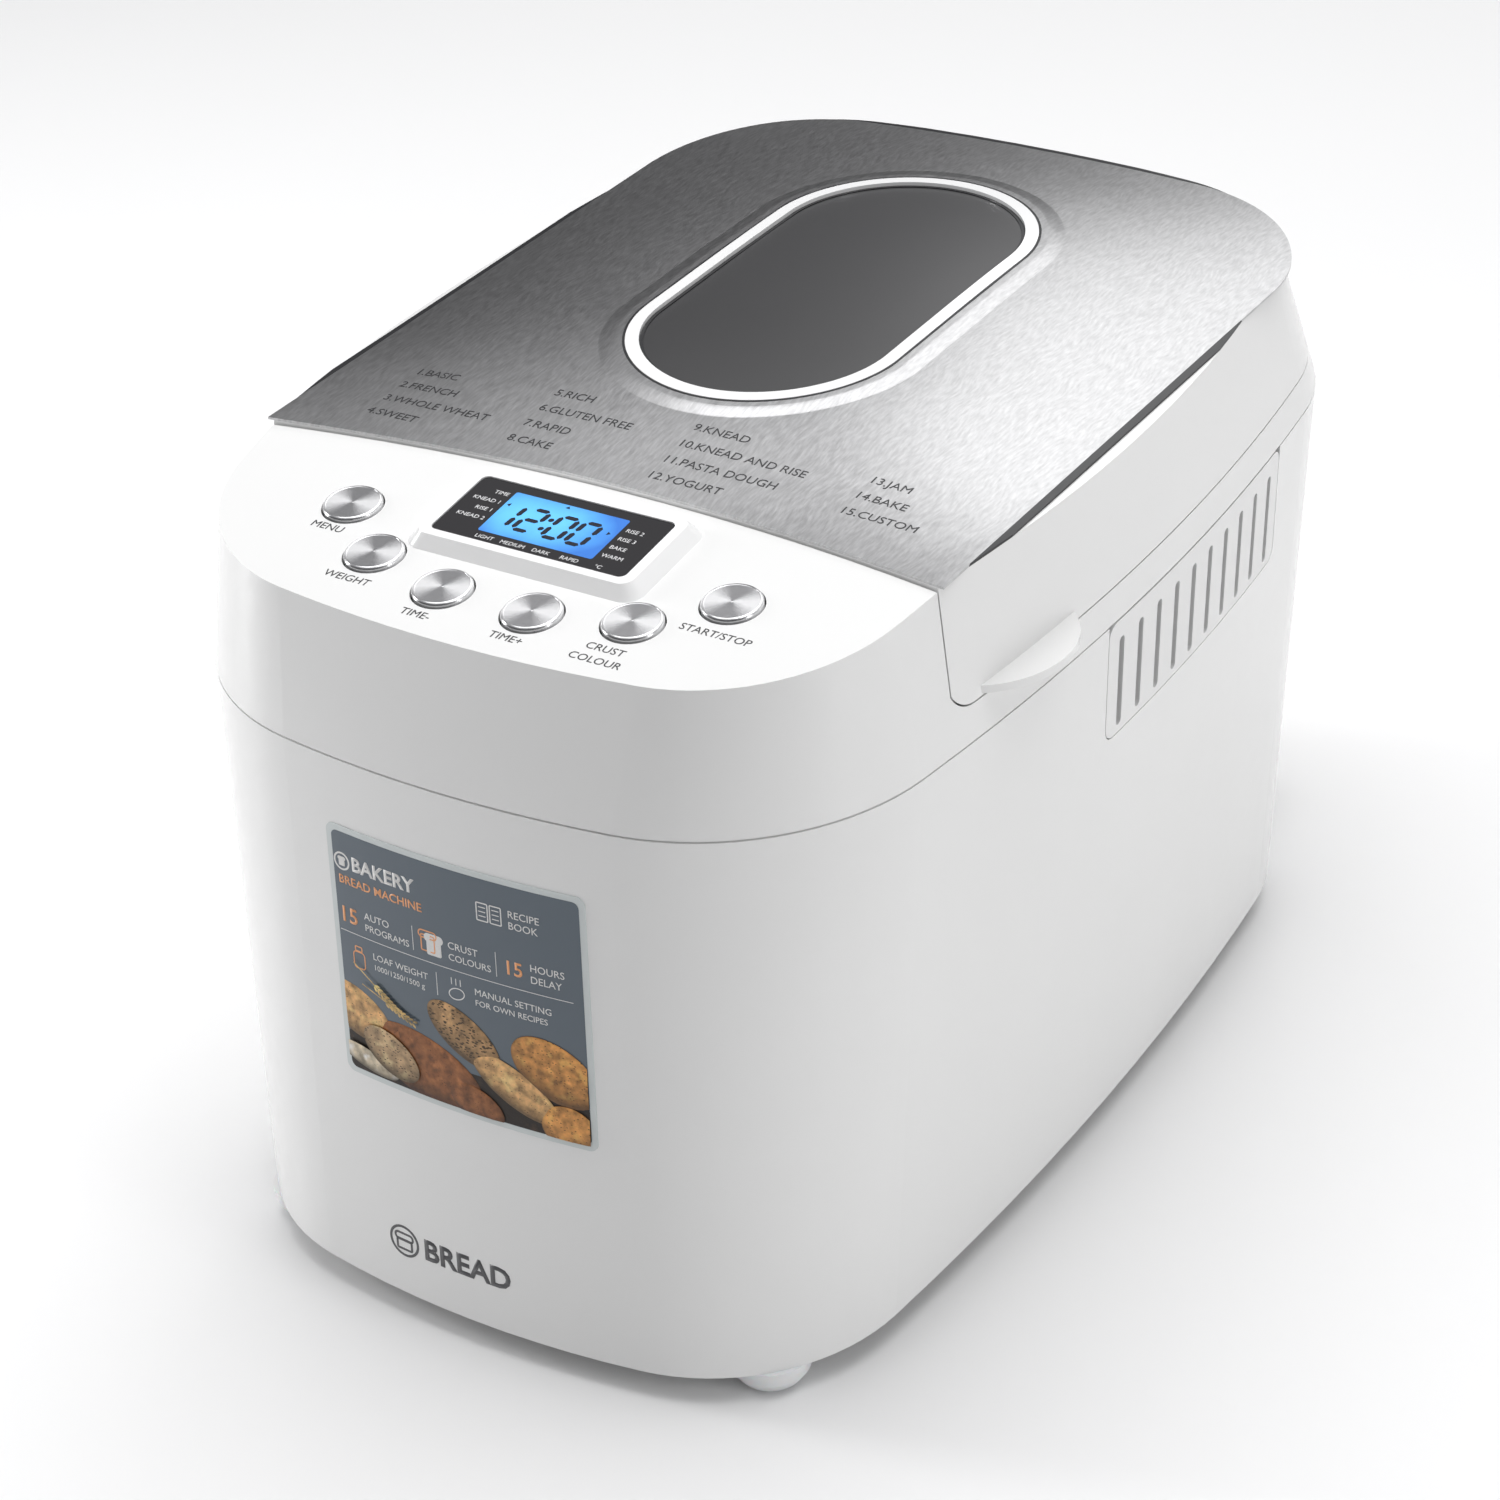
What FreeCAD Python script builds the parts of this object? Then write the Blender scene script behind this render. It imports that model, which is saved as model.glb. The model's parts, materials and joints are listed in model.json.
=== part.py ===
"""Two-paddle household bread machine.

Millimetres, +Z up. The origin is the middle of the seam outline, on the worktop; the control
panel faces -Y and the lid opens toward +Y. Every driving size is in the Sizes sheet.
"""
import FreeCAD, Part
import math
import os

import Sketcher
from FreeCAD import Placement, Rotation, Vector

os.makedirs("parts", exist_ok=True)
doc = FreeCAD.newDocument("bread_machine")
sheet = doc.addObject("Spreadsheet::Sheet", "Sizes")

SIZES = [
    # levels
    ("base_level", 10.0, "underside of the housing above the worktop"),
    ("seam_level", 199.5, "seam between lower and upper housing"),
    ("lid_seam_level", 210.6, "deck and lower edge of the lid"),
    ("loft_top", 264.0, "level where the upper outline is drawn"),
    ("wall", 2.6, "plastic wall"),
    ("lid_gap", 0.6, "gap around the closed lid"),
    ("lid_front", -112.0, "front face of the lid at its corners"),
    ("lid_bow", 762.0, "radius of the bowed lid front seen from above"),
    ("lid_bow_y", -101.0, "lid front in the middle"),
    ("lid_corner", 12.0, "round lower front corner of the lid side"),
    # outline at the base
    ("base_half", 120.6, "half width"),
    ("base_front", -207.0, "front apex"),
    ("base_back", 177.0, "back apex"),
    ("base_corner", 67.0, "corner radius"),
    ("base_front_bulge", 344.0, "front bulge radius"),
    ("base_side_bulge", 1279.0, "side bulge radius"),
    ("base_back_bulge", 600.0, "back bulge radius"),
    # outline at the seam
    ("seam_half", 130.0, "half width"),
    ("seam_front", -197.0, "front apex"),
    ("seam_back", 197.0, "back apex"),
    ("seam_corner", 76.0, "corner radius"),
    ("seam_front_bulge", 385.0, "front bulge radius"),
    ("seam_side_bulge", 984.0, "side bulge radius"),
    ("seam_back_bulge", 600.0, "back bulge radius"),
    # outline at the loft top
    ("rim_half", 125.0, "half width"),
    ("rim_front", -178.5, "front apex"),
    ("rim_back", 162.0, "back apex"),
    ("rim_corner", 56.0, "corner radius"),
    ("rim_front_bulge", 560.0, "front bulge radius"),
    ("rim_side_bulge", 640.0, "side bulge radius"),
    ("rim_back_bulge", 900.0, "back bulge radius"),
    # crowned lid and flat panel
    ("crown_edge", 252.8, "lid surface along its side edges"),
    ("crown_front", 253.6, "lid surface at the middle of its front edge"),
    ("crown_middle", 263.6, "lid surface at its highest point"),
    ("crown_back", 258.6, "lid surface at the middle of its back edge"),
    ("panel_level", 246.7, "control panel height at panel_y"),
    ("panel_y", -146.0, "reference line across the control panel"),
    ("panel_tilt", 6.4, "slope of the control panel, degrees"),
    ("sheet_gauge", 0.8, "lid steel"),
    # display and buttons
    ("lens_half", 34.2, "display lens half width"),
    ("lens_depth", 29.5, "display lens depth"),
    ("lens_y", -128.4, "display lens centre"),
    ("button_radius", 9.15, "button cap"),
    ("button_hole", 9.75, "button opening"),
    ("button_travel", 1.0, "button stroke"),
    # lid details
    ("cover_half", 120.2, "steel cover half width"),
    ("cover_back", 162.0, "steel cover back edge"),
    ("cover_corner", 56.0, "steel cover back corners"),
    ("trim_width", 2.4, "black strip round the cover"),
    ("window_half", 41.6, "window glass half width"),
    ("window_front", -47.7, "window glass front"),
    ("window_back", 115.1, "window glass back"),
    ("window_ring", 4.4, "bezel width"),
    ("hinge_y", 189.4, "lid hinge axis"),
    ("hinge_level", 206.6, "lid hinge axis"),
    ("hinge_x", 30.0, "middle of each hinge lug"),
    # oven chamber and pan
    ("oven_y", 36.0, "middle of the oven chamber"),
    ("oven_half_x", 100.0, "chamber half width"),
    ("oven_half_y", 128.0, "chamber half depth"),
    ("oven_floor", 50.0, "chamber underside"),
    ("oven_gauge", 1.0, "chamber sheet"),
    ("pan_half_x", 72.0, "pan half width at the rim"),
    ("pan_half_y", 108.0, "pan half length at the rim"),
    ("pan_draft", 6.0, "how much each side draws in toward the floor"),
    ("pan_floor", 68.0, "pan underside"),
    ("pan_rim", 186.0, "pan rim"),
    ("pan_wall", 1.4, "pan wall"),
    ("paddle_spacing", 104.0, "distance between the two paddles"),
    ("shaft_radius", 4.0, "drive and pan shafts"),
    # drive
    ("frame_level", 40.0, "underside of the drive frame"),
    ("motor_x", 30.0, "motor axis"),
    ("motor_y", -142.0, "motor axis"),
    ("motor_radius", 37.0, "motor can"),
    ("pulley_radius", 45.0, "large pulley"),
    ("pinion_radius", 9.0, "motor pulley"),
    ("transfer_radius", 20.0, "transfer pulleys"),
    ("belt_gap", 0.4, "clearance between belts and pulleys"),
    ("belt_thickness", 1.6, "belts"),
    # vents
    ("vent_front", -27.5, "vent panel front edge"),
    ("vent_back", 103.0, "vent panel back edge"),
    ("vent_bottom", 157.0, "vent panel lower edge"),
    ("slot_first", -18.9, "first slot"),
    ("slot_pitch", 12.54, "slot pitch"),
    ("slot_low", 160.0, "slot lower end"),
    ("slot_high", 192.0, "slot upper end"),
    ("slot_width", 3.2, "slot width"),
    # label
    ("label_x", 3.0, "front label centre"),
    ("label_half", 46.0, "front label half width"),
    ("label_low", 88.5, "front label lower edge"),
    ("label_high", 176.5, "front label upper edge"),
    ("label_gauge", 0.3, "front label film"),
]

for row, (alias, amount, note) in enumerate(SIZES, 1):
    sheet.set("A%d" % row, note)
    sheet.set("B%d" % row, str(amount))
    sheet.setAlias("B%d" % row, alias)
doc.recompute()


# ---------------------------------------------------------------- sizes and expressions
class Length:
    """A number together with the sheet expression it comes from."""

    def __init__(self, value, text):
        self.value = float(value)
        self.text = text

    def joined(self, other, sign, value):
        return Length(value, "(%s %s %s)" % (self.text, sign, other.text))

    def __add__(self, other):
        other = length(other)
        return self.joined(other, "+", self.value + other.value)

    def __sub__(self, other):
        other = length(other)
        return self.joined(other, "-", self.value - other.value)

    def __mul__(self, other):
        other = length(other)
        return self.joined(other, "*", self.value * other.value)

    def __truediv__(self, other):
        other = length(other)
        return self.joined(other, "/", self.value / other.value)

    def __neg__(self):
        return Length(-self.value, "(0 - %s)" % self.text)


def length(item):
    if isinstance(item, Length):
        return item
    number = float(item)
    return Length(number, "%r" % number if number >= 0 else "(0 - %r)" % -number)


def size(alias):
    return Length(float(sheet.get(alias)), "Sizes." + alias)


def bind(item, path, amount):
    item.setExpression(path, length(amount).text)


# ---------------------------------------------------------------- sketch helpers
def new_body(name):
    body = doc.addObject("PartDesign::Body", name)
    body.Label = name
    return body


def new_sketch(body, name, role="XY_Plane", offset=0.0):
    plane = [item for item in body.Origin.OriginFeatures if item.Role == role][0]
    sketch = body.newObject("Sketcher::SketchObject", name)
    sketch.AttachmentSupport = [(plane, "")]
    sketch.MapMode = "FlatFace"
    sketch.AttachmentOffset = Placement(Vector(0, 0, length(offset).value), Rotation())
    bind(sketch, "AttachmentOffset.Base.z", offset)
    return sketch


def measure(sketch, name, kind, refs, amount):
    """Add one named dimension to a sketch and bind it to the sheet."""
    amount = length(amount)
    index = sketch.addConstraint(Sketcher.Constraint(kind, *refs, amount.value))
    sketch.renameConstraint(index, name)
    if "Sizes." in amount.text:
        sketch.setExpression("Constraints." + name, amount.text)


def locate(sketch, name, geo, end, x, y):
    """Fix a point of the sketch at x, y from the origin."""
    for axis, amount, line in (("X", x, -2), ("Y", y, -1)):
        amount = length(amount)
        if abs(amount.value) < 1e-9 and "Sizes." not in amount.text:
            sketch.addConstraint(Sketcher.Constraint("PointOnObject", geo, end, line))
        else:
            measure(sketch, name + axis, "Distance" + axis, (-1, 1, geo, end), amount)


def polygon(sketch, points, tag="p"):
    """Closed polygon, each corner held by its two coordinates."""
    first = len(sketch.Geometry)
    corners = [Vector(length(x).value, length(y).value, 0) for x, y in points]
    count = len(corners)
    for i in range(count):
        sketch.addGeometry(Part.LineSegment(corners[i], corners[(i + 1) % count]), False)
    for i in range(count):
        follower = first + (i + 1) % count
        sketch.addConstraint(Sketcher.Constraint("Coincident", first + i, 2, follower, 1))
    for i, (x, y) in enumerate(points):
        locate(sketch, "%s%d" % (tag, i), first + i, 1, x, y)


def circle(sketch, x, y, radius, tag="c"):
    x, y, radius = length(x), length(y), length(radius)
    centre = Vector(x.value, y.value, 0)
    geo = sketch.addGeometry(Part.Circle(centre, Vector(0, 0, 1), radius.value), False)
    measure(sketch, tag + "_radius", "Radius", (geo,), radius)
    locate(sketch, tag, geo, 3, x, y)


def rounded_rectangle(sketch, x0, y0, x1, y1, radius, tag="r"):
    """Rectangle with four equal round corners between two opposite corners."""
    x0, y0, x1, y1, radius = [length(item) for item in (x0, y0, x1, y1, radius)]
    first = len(sketch.Geometry)
    ax, ay, bx, by, r = x0.value, y0.value, x1.value, y1.value, radius.value
    quarter = math.pi / 2
    straights = [
        ((ax + r, ay), (bx - r, ay)),
        ((bx, ay + r), (bx, by - r)),
        ((bx - r, by), (ax + r, by)),
        ((ax, by - r), (ax, ay + r)),
    ]
    centres = [(bx - r, ay + r), (bx - r, by - r), (ax + r, by - r), (ax + r, ay + r)]
    for i in range(4):
        start, end = [Vector(px, py, 0) for px, py in straights[i]]
        sketch.addGeometry(Part.LineSegment(start, end), False)
        turn = Part.Circle(Vector(centres[i][0], centres[i][1], 0), Vector(0, 0, 1), r)
        angle = (i - 1) * quarter
        sketch.addGeometry(Part.ArcOfCircle(turn, angle, angle + quarter), False)
    for i in range(8):
        follower = first + (i + 1) % 8
        sketch.addConstraint(Sketcher.Constraint("Tangent", first + i, 2, follower, 1))
    for i in (1, 2, 3):
        sketch.addConstraint(Sketcher.Constraint("Equal", first + 1, first + 2 * i + 1))
    for i in (0, 4):
        sketch.addConstraint(Sketcher.Constraint("Horizontal", first + i))
    for i in (2, 6):
        sketch.addConstraint(Sketcher.Constraint("Vertical", first + i))
    measure(sketch, tag + "_radius", "Radius", (first + 1,), radius)
    measure(sketch, tag + "_low", "DistanceY", (-1, 1, first, 1), y0)
    measure(sketch, tag + "_right", "DistanceX", (-1, 1, first + 2, 1), x1)
    measure(sketch, tag + "_high", "DistanceY", (-1, 1, first + 4, 1), y1)
    measure(sketch, tag + "_left", "DistanceX", (-1, 1, first + 6, 1), x0)


def meeting(c1, r1, c2, r2):
    """The outermost crossing of two circles, used as the centre of a corner arc."""
    dx, dy = c2[0] - c1[0], c2[1] - c1[1]
    gap = math.hypot(dx, dy)
    along = (r1 * r1 - r2 * r2 + gap * gap) / (2 * gap)
    across = math.sqrt(max(r1 * r1 - along * along, 0.0))
    ux, uy = dx / gap, dy / gap
    found = []
    for side in (1, -1):
        x = c1[0] + along * ux - side * across * uy
        y = c1[1] + along * uy + side * across * ux
        found.append((x, y))
    return found


def outline(sketch, prefix, inset=0.0, tag="o"):
    """Closed outline of eight tangent arcs: bulged front, sides and back, round corners."""
    inset = length(inset)
    half = size(prefix + "_half") - inset
    front = size(prefix + "_front") + inset
    back = size(prefix + "_back") - inset
    corner = size(prefix + "_corner") - inset
    front_bulge = size(prefix + "_front_bulge") - inset
    side_bulge = size(prefix + "_side_bulge") - inset
    back_bulge = size(prefix + "_back_bulge") - inset
    middle = (front + back) / 2
    r = corner.value
    front_c = (0.0, front.value + front_bulge.value)
    back_c = (0.0, back.value - back_bulge.value)
    side_c = (half.value - side_bulge.value, middle.value)
    near = meeting(front_c, front_bulge.value - r, side_c, side_bulge.value - r)
    far = meeting(back_c, back_bulge.value - r, side_c, side_bulge.value - r)
    near = max(near, key=lambda p: p[0] - p[1])
    far = max(far, key=lambda p: p[0] + p[1])
    mirror = [(-x, y) for x, y in (side_c, near, far)]
    arcs = [
        (front_c, front_bulge.value),
        (near, r),
        (side_c, side_bulge.value),
        (far, r),
        (back_c, back_bulge.value),
        (mirror[2], r),
        (mirror[0], side_bulge.value),
        (mirror[1], r),
    ]

    def joint(i):
        """Direction of the tangent point between arc i and the next one."""
        (ax, ay), ra = arcs[i]
        (bx, by), rb = arcs[(i + 1) % 8]
        sign = 1 if ra > rb else -1
        return math.atan2(sign * (by - ay), sign * (bx - ax))

    first = len(sketch.Geometry)
    for i, ((cx, cy), radius) in enumerate(arcs):
        start, end = joint(i - 1), joint(i)
        while end < start:
            end += 2 * math.pi
        round_line = Part.Circle(Vector(cx, cy, 0), Vector(0, 0, 1), radius)
        sketch.addGeometry(Part.ArcOfCircle(round_line, start, end), False)
    for i in range(8):
        follower = first + (i + 1) % 8
        sketch.addConstraint(Sketcher.Constraint("Tangent", first + i, 2, follower, 1))
    for i in (3, 5, 7):
        sketch.addConstraint(Sketcher.Constraint("Equal", first + 1, first + i))
    measure(sketch, tag + "_corner", "Radius", (first + 1,), corner)
    measure(sketch, tag + "_front_bulge", "Radius", (first,), front_bulge)
    measure(sketch, tag + "_back_bulge", "Radius", (first + 4,), back_bulge)
    measure(sketch, tag + "_right_bulge", "Radius", (first + 2,), side_bulge)
    measure(sketch, tag + "_left_bulge", "Radius", (first + 6,), side_bulge)
    locate(sketch, tag + "_front_", first, 3, 0.0, front + front_bulge)
    locate(sketch, tag + "_back_", first + 4, 3, 0.0, back - back_bulge)
    locate(sketch, tag + "_right_", first + 2, 3, half - side_bulge, middle)
    locate(sketch, tag + "_left_", first + 6, 3, side_bulge - half, middle)


# ---------------------------------------------------------------- solid helpers
def pad(body, sketch, depth, midplane=False):
    feature = body.newObject("PartDesign::Pad", body.Name + "_pad")
    feature.Profile = sketch
    feature.Length = length(depth).value
    bind(feature, "Length", depth)
    if midplane:
        feature.SideType = "Symmetric"
    sketch.Visibility = False
    body.Tip = feature
    return feature


def revolve(body, sketch):
    feature = body.newObject("PartDesign::Revolution", body.Name + "_turned")
    feature.Profile = sketch
    feature.ReferenceAxis = (sketch, ["V_Axis"])
    feature.Angle = 360.0
    body.Tip = feature
    return feature


def loft(body, sketches, ruled=True):
    feature = body.newObject("PartDesign::AdditiveLoft", body.Name + "_loft")
    feature.Profile = sketches[0]
    feature.Sections = sketches[1:]
    feature.Ruled = ruled
    body.Tip = feature
    return feature


def place(item, x=0.0, y=0.0, z=0.0):
    item.Placement.Base = Vector(length(x).value, length(y).value, length(z).value)
    for axis, amount in (("x", x), ("y", y), ("z", z)):
        if "Sizes." in length(amount).text:
            bind(item, "Placement.Base." + axis, amount)


def plate(name, x0, y0, x1, y1, radius, z0, depth):
    """Flat plate with round corners."""
    body = new_body(name)
    sketch = new_sketch(body, name + "_shape", offset=z0)
    rounded_rectangle(sketch, x0, y0, x1, y1, radius)
    pad(body, sketch, depth)
    return body


def frame_plate(name, outer, inner, z0, depth):
    """Flat ring between two rounded rectangles, each (x0, y0, x1, y1, radius)."""
    body = new_body(name)
    sketch = new_sketch(body, name + "_shape", offset=z0)
    rounded_rectangle(sketch, *outer, tag="outer")
    rounded_rectangle(sketch, *inner, tag="inner")
    pad(body, sketch, depth)
    return body


def turned(name, profile, x=0.0, y=0.0, z=0.0):
    """Solid of revolution about +Z from (radius, height) points."""
    body = new_body(name)
    sketch = new_sketch(body, name + "_shape", "XZ_Plane")
    polygon(sketch, profile)
    revolve(body, sketch)
    place(body, x, y, z)
    return body


def drum(name, radius, height, x=0.0, y=0.0, z=0.0, bore=None):
    """Plain cylinder, or a tube when a bore is given."""
    inner = 0.0 if bore is None else bore
    return turned(name, [(inner, 0.0), (radius, 0.0), (radius, height), (inner, height)], x, y, z)


def block(name, x0, y0, z0, dx, dy, dz):
    box = doc.addObject("Part::Box", name)
    for prop, amount in (("Length", dx), ("Width", dy), ("Height", dz)):
        setattr(box, prop, length(amount).value)
        bind(box, prop, amount)
    place(box, x0, y0, z0)
    return box


def rod(name, radius, span, x, y, z, axis="z"):
    """Cylinder along one axis, from its start point."""
    item = doc.addObject("Part::Cylinder", name)
    item.Radius = length(radius).value
    item.Height = length(span).value
    bind(item, "Radius", radius)
    bind(item, "Height", span)
    turn = {"z": Rotation(), "x": Rotation(Vector(0, 1, 0), 90), "y": Rotation(Vector(1, 0, 0), -90)}
    item.Placement.Rotation = turn[axis]
    place(item, x, y, z)
    return item


def fuse(name, *items):
    if len(items) == 1:
        return items[0]
    item = doc.addObject("Part::MultiFuse", name)
    item.Shapes = list(items)
    return item


def common(name, *items):
    item = doc.addObject("Part::MultiCommon", name)
    item.Shapes = list(items)
    return item


def cut(name, base, *tools):
    item = doc.addObject("Part::Cut", name)
    item.Base = base
    item.Tool = fuse(name + "_tools", *tools)
    return item


def group(name, *items):
    """Separate solids kept together as one node."""
    item = doc.addObject("Part::Compound", name)
    item.Links = list(items)
    return item


NODES = {}


def node(name, item):
    NODES[name] = item
    return item


# ---------------------------------------------------------------- housing blocks
WALL = size("wall")
SEAM = size("seam_level")
BASE = size("base_level")
DECK = size("lid_seam_level")


def lower_block(name, inset):
    body = new_body(name)
    low = new_sketch(body, name + "_low", offset=BASE)
    outline(low, "base", inset)
    high = new_sketch(body, name + "_high", offset=SEAM)
    outline(high, "seam", inset)
    loft(body, [low, high])
    return body


def upper_block(name, inset):
    body = new_body(name)
    low = new_sketch(body, name + "_low", offset=SEAM)
    outline(low, "seam", inset)
    high = new_sketch(body, name + "_high", offset=size("loft_top"))
    outline(high, "rim", inset)
    loft(body, [low, high])
    return body


def outline_slab(name, prefix, outer_inset, inner_inset, z0, depth):
    """Level ring or plate that follows one of the housing outlines."""
    body = new_body(name)
    sketch = new_sketch(body, name + "_shape", offset=z0)
    outline(sketch, prefix, outer_inset, "outer")
    if inner_inset is not None:
        outline(sketch, prefix, inner_inset, "inner")
    pad(body, sketch, depth)
    return body


def crown_block(name, drop):
    """Everything below the pillow-shaped lid surface, lowered by drop."""
    body = new_body(name)
    edge = size("crown_edge")
    reach = 170.0
    front, middle, back = size("crown_front"), size("crown_middle"), size("crown_back")
    stations = [
        (-260.0, front - 0.2),
        (-160.0, front - 0.2),
        (-101.0, front),
        (-50.0, front + (middle - front) * 0.68),
        (0.0, middle - 0.6),
        (60.0, middle),
        (115.0, middle - 1.6),
        (162.0, back),
        (260.0, back - 4.6),
    ]
    sections = []
    for i, (y, apex) in enumerate(stations):
        sketch = new_sketch(body, "%s_%d" % (name, i), "XZ_Plane", -length(y))
        rise = apex - edge
        radius = size("cover_half") * size("cover_half") / (rise * 2.0) + rise / 2.0
        top = apex - drop
        centre_z = top.value - radius.value
        edge_z = centre_z + math.sqrt(radius.value ** 2 - reach ** 2)
        lean = math.asin(reach / radius.value)
        round_line = Part.Circle(Vector(0, centre_z, 0), Vector(0, 0, 1), radius.value)
        quarter = math.pi / 2
        sketch.addGeometry(Part.ArcOfCircle(round_line, quarter - lean, quarter + lean), False)
        corners = [
            Vector(-reach, edge_z, 0),
            Vector(-reach, 100, 0),
            Vector(reach, 100, 0),
            Vector(reach, edge_z, 0),
        ]
        for j in range(3):
            sketch.addGeometry(Part.LineSegment(corners[j], corners[j + 1]), False)
        for a, b in ((0, 1), (1, 2), (2, 3), (3, 0)):
            sketch.addConstraint(Sketcher.Constraint("Coincident", a, 2, b, 1))
        sketch.addConstraint(Sketcher.Constraint("Vertical", 1))
        sketch.addConstraint(Sketcher.Constraint("Horizontal", 2))
        sketch.addConstraint(Sketcher.Constraint("Vertical", 3))
        measure(sketch, "crown", "Radius", (0,), radius)
        locate(sketch, "centre", 0, 3, 0.0, top - radius)
        measure(sketch, "right", "DistanceX", (-1, 1, 2, 2), reach)
        measure(sketch, "left", "DistanceX", (-1, 1, 2, 1), -reach)
        measure(sketch, "bottom", "DistanceY", (-1, 1, 2, 1), 100.0)
        sections.append(sketch)
    loft(body, sections, ruled=False)
    return body


def lid_zone(name, grow, bottom):
    """Space of the lid: bowed front seen from above, round lower corner seen from the side."""
    body = new_body(name + "_profile")
    sketch = new_sketch(body, name + "_side", "YZ_Plane")
    front = size("lid_front") + grow
    polygon(sketch, [(front, bottom), (240.0, bottom), (240.0, 310.0), (front, 310.0)])
    pad(body, sketch, 340.0, midplane=True)
    doc.recompute()
    base = body.Tip
    for i, edge in enumerate(base.Shape.Edges, 1):
        middle = edge.CenterOfMass
        if abs(middle.y - front.value) < 0.01 and abs(middle.z - length(bottom).value) < 0.01:
            corner = body.newObject("PartDesign::Fillet", name + "_corner")
            corner.Base = (base, ["Edge%d" % i])
            corner.Radius = size("lid_corner").value - length(grow).value
            bind(corner, "Radius", size("lid_corner") - grow)
            body.Tip = corner
            break
    bow = size("lid_bow")
    bow_tool = drum(name + "_bow", bow + grow, 200.0, 0.0, size("lid_bow_y") - bow, 120.0)
    return cut(name, body, bow_tool)


outer_low = lower_block("outer_low", 0.0)
inner_low = lower_block("inner_low", WALL)
outer_up = upper_block("outer_up", 0.0)
inner_up = upper_block("inner_up", WALL)
middle_up = upper_block("middle_up", WALL - 0.6)
crown_top = crown_block("crown_top", 0.0)
crown_skin = crown_block("crown_skin", size("sheet_gauge"))
crown_core = crown_block("crown_core", size("sheet_gauge") + WALL)

# control panel plane
tilt = size("panel_tilt").value
panel_turn = Rotation(Vector(1, 0, 0), tilt)
panel_y = size("panel_y")
panel_z = size("panel_level")


def panel_point(x, y, rise=0.0):
    """Point above the control panel plane."""
    slope = math.radians(tilt)
    z = panel_z.value + (y - panel_y.value) * math.tan(slope)
    return Vector(x, y - rise * math.sin(slope), z + rise * math.cos(slope))


def under_panel(name, drop):
    """Everything below the control panel plane, lowered by drop."""
    body = new_body(name)
    sketch = new_sketch(body, name + "_side", "YZ_Plane")
    slope = math.tan(math.radians(tilt))
    near = panel_z - drop - (panel_y + 240.0) * slope
    far = panel_z - drop - (panel_y - size("lid_front") - 20.0) * slope
    right = size("lid_front") + 20.0
    polygon(sketch, [(-240.0, 150.0), (right, 150.0), (right, far), (-240.0, near)])
    pad(body, sketch, 340.0, midplane=True)
    return body


panel_block = under_panel("panel_block", 0.0)
panel_core = under_panel("panel_core", WALL)

# ---------------------------------------------------------------- lower housing
vent_side = {}
vent_tools = []
for side, sign in (("left", -1), ("right", 1)):
    x0 = -150.0 if sign < 0 else 90.0
    body = new_body("vent_window_" + side)
    sketch = new_sketch(body, "vent_window_shape_" + side, "YZ_Plane", x0)
    rounded_rectangle(
        sketch, size("vent_front"), size("vent_bottom"), size("vent_back"), SEAM + 10.0, 5.0
    )
    pad(body, sketch, 60.0)
    vent_tools.append(body)
    inner = new_body("vent_insert_" + side)
    sketch = new_sketch(inner, "vent_insert_shape_" + side, "YZ_Plane", x0)
    low = size("vent_bottom") + 0.4
    rounded_rectangle(
        sketch, size("vent_front") + 0.4, low, size("vent_back") - 0.4, SEAM - 0.8, 4.6
    )
    pad(inner, sketch, 60.0)
    slots = new_body("vent_slots_" + side)
    sketch = new_sketch(slots, "vent_slots_shape_" + side, "YZ_Plane", x0)
    for i in range(10):
        middle = size("slot_first") + size("slot_pitch") * i
        half = size("slot_width") / 2
        rounded_rectangle(
            sketch,
            middle - half,
            size("slot_low"),
            middle + half,
            size("slot_high"),
            half - 0.05,
            "slot%d" % i,
        )
    pad(slots, sketch, 60.0)
    vent_side[side] = (inner, slots)

seam_groove = outline_slab("seam_groove", "seam", -3.0, 0.9, SEAM - 0.7, 2.0)
gland_hole = rod("gland_hole", 6.0, 40.0, 70.0, 150.0, 34.0, "y")
lower_shell = cut("lower_shell", outer_low, inner_low)
floor_flange = outline_slab("floor_flange", "base", 1.2, 14.0, BASE, 3.0)
lower_housing = cut(
    "lower_housing", fuse("lower_whole", lower_shell, floor_flange), *vent_tools, seam_groove, gland_hole
)
node("lower_housing", lower_housing)
for side, (insert, slots) in vent_side.items():
    panel = common("vent_blank_" + side, lower_shell, insert)
    node("vent_panel_" + side, cut("vent_panel_" + side, panel, slots))

label_skin = lower_block("label_skin", -size("label_gauge"))
label_window = plate(
    "label_window", size("label_x") - size("label_half"), size("label_low"),
    size("label_x") + size("label_half"), size("label_high"),
    3.0, 0.0, 60.0,
)
label_window.Placement = Placement(Vector(0, -150, 0), Rotation(Vector(1, 0, 0), 90))
node("front_label", cut("front_label", common("label_blank", label_skin, label_window), outer_low))

gland = turned(
    "cord_gland",
    [
        (3.6, 0.0),
        (5.0, 0.0),
        (5.4, 1.0),
        (7.2, 22.0),
        (9.0, 23.5),
        (9.0, 26.0),
        (5.8, 26.0),
        (5.8, 38.0),
        (8.0, 38.0),
        (8.0, 40.2),
        (3.6, 40.2),
    ],
)
gland.Placement = Placement(Vector(70.0, 203.4, 34.0), Rotation(Vector(1, 0, 0), 90))
node("cord_gland", gland)

# ---------------------------------------------------------------- base plate and feet
base_slab = outline_slab("base_slab", "base", WALL + 1.0, None, BASE + 3.0, 3.0)
post_spots = [(-80, -100), (80, -100), (-80, 36), (80, 36), (-80, 150), (80, 150)]
posts = []
for i, (x, y) in enumerate(post_spots):
    posts.append(rod("base_post_%d" % i, 6.0, size("frame_level") - BASE - 4.5, x, y, BASE + 4.5))
node("base_plate", fuse("base_plate", base_slab, *posts))

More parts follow.
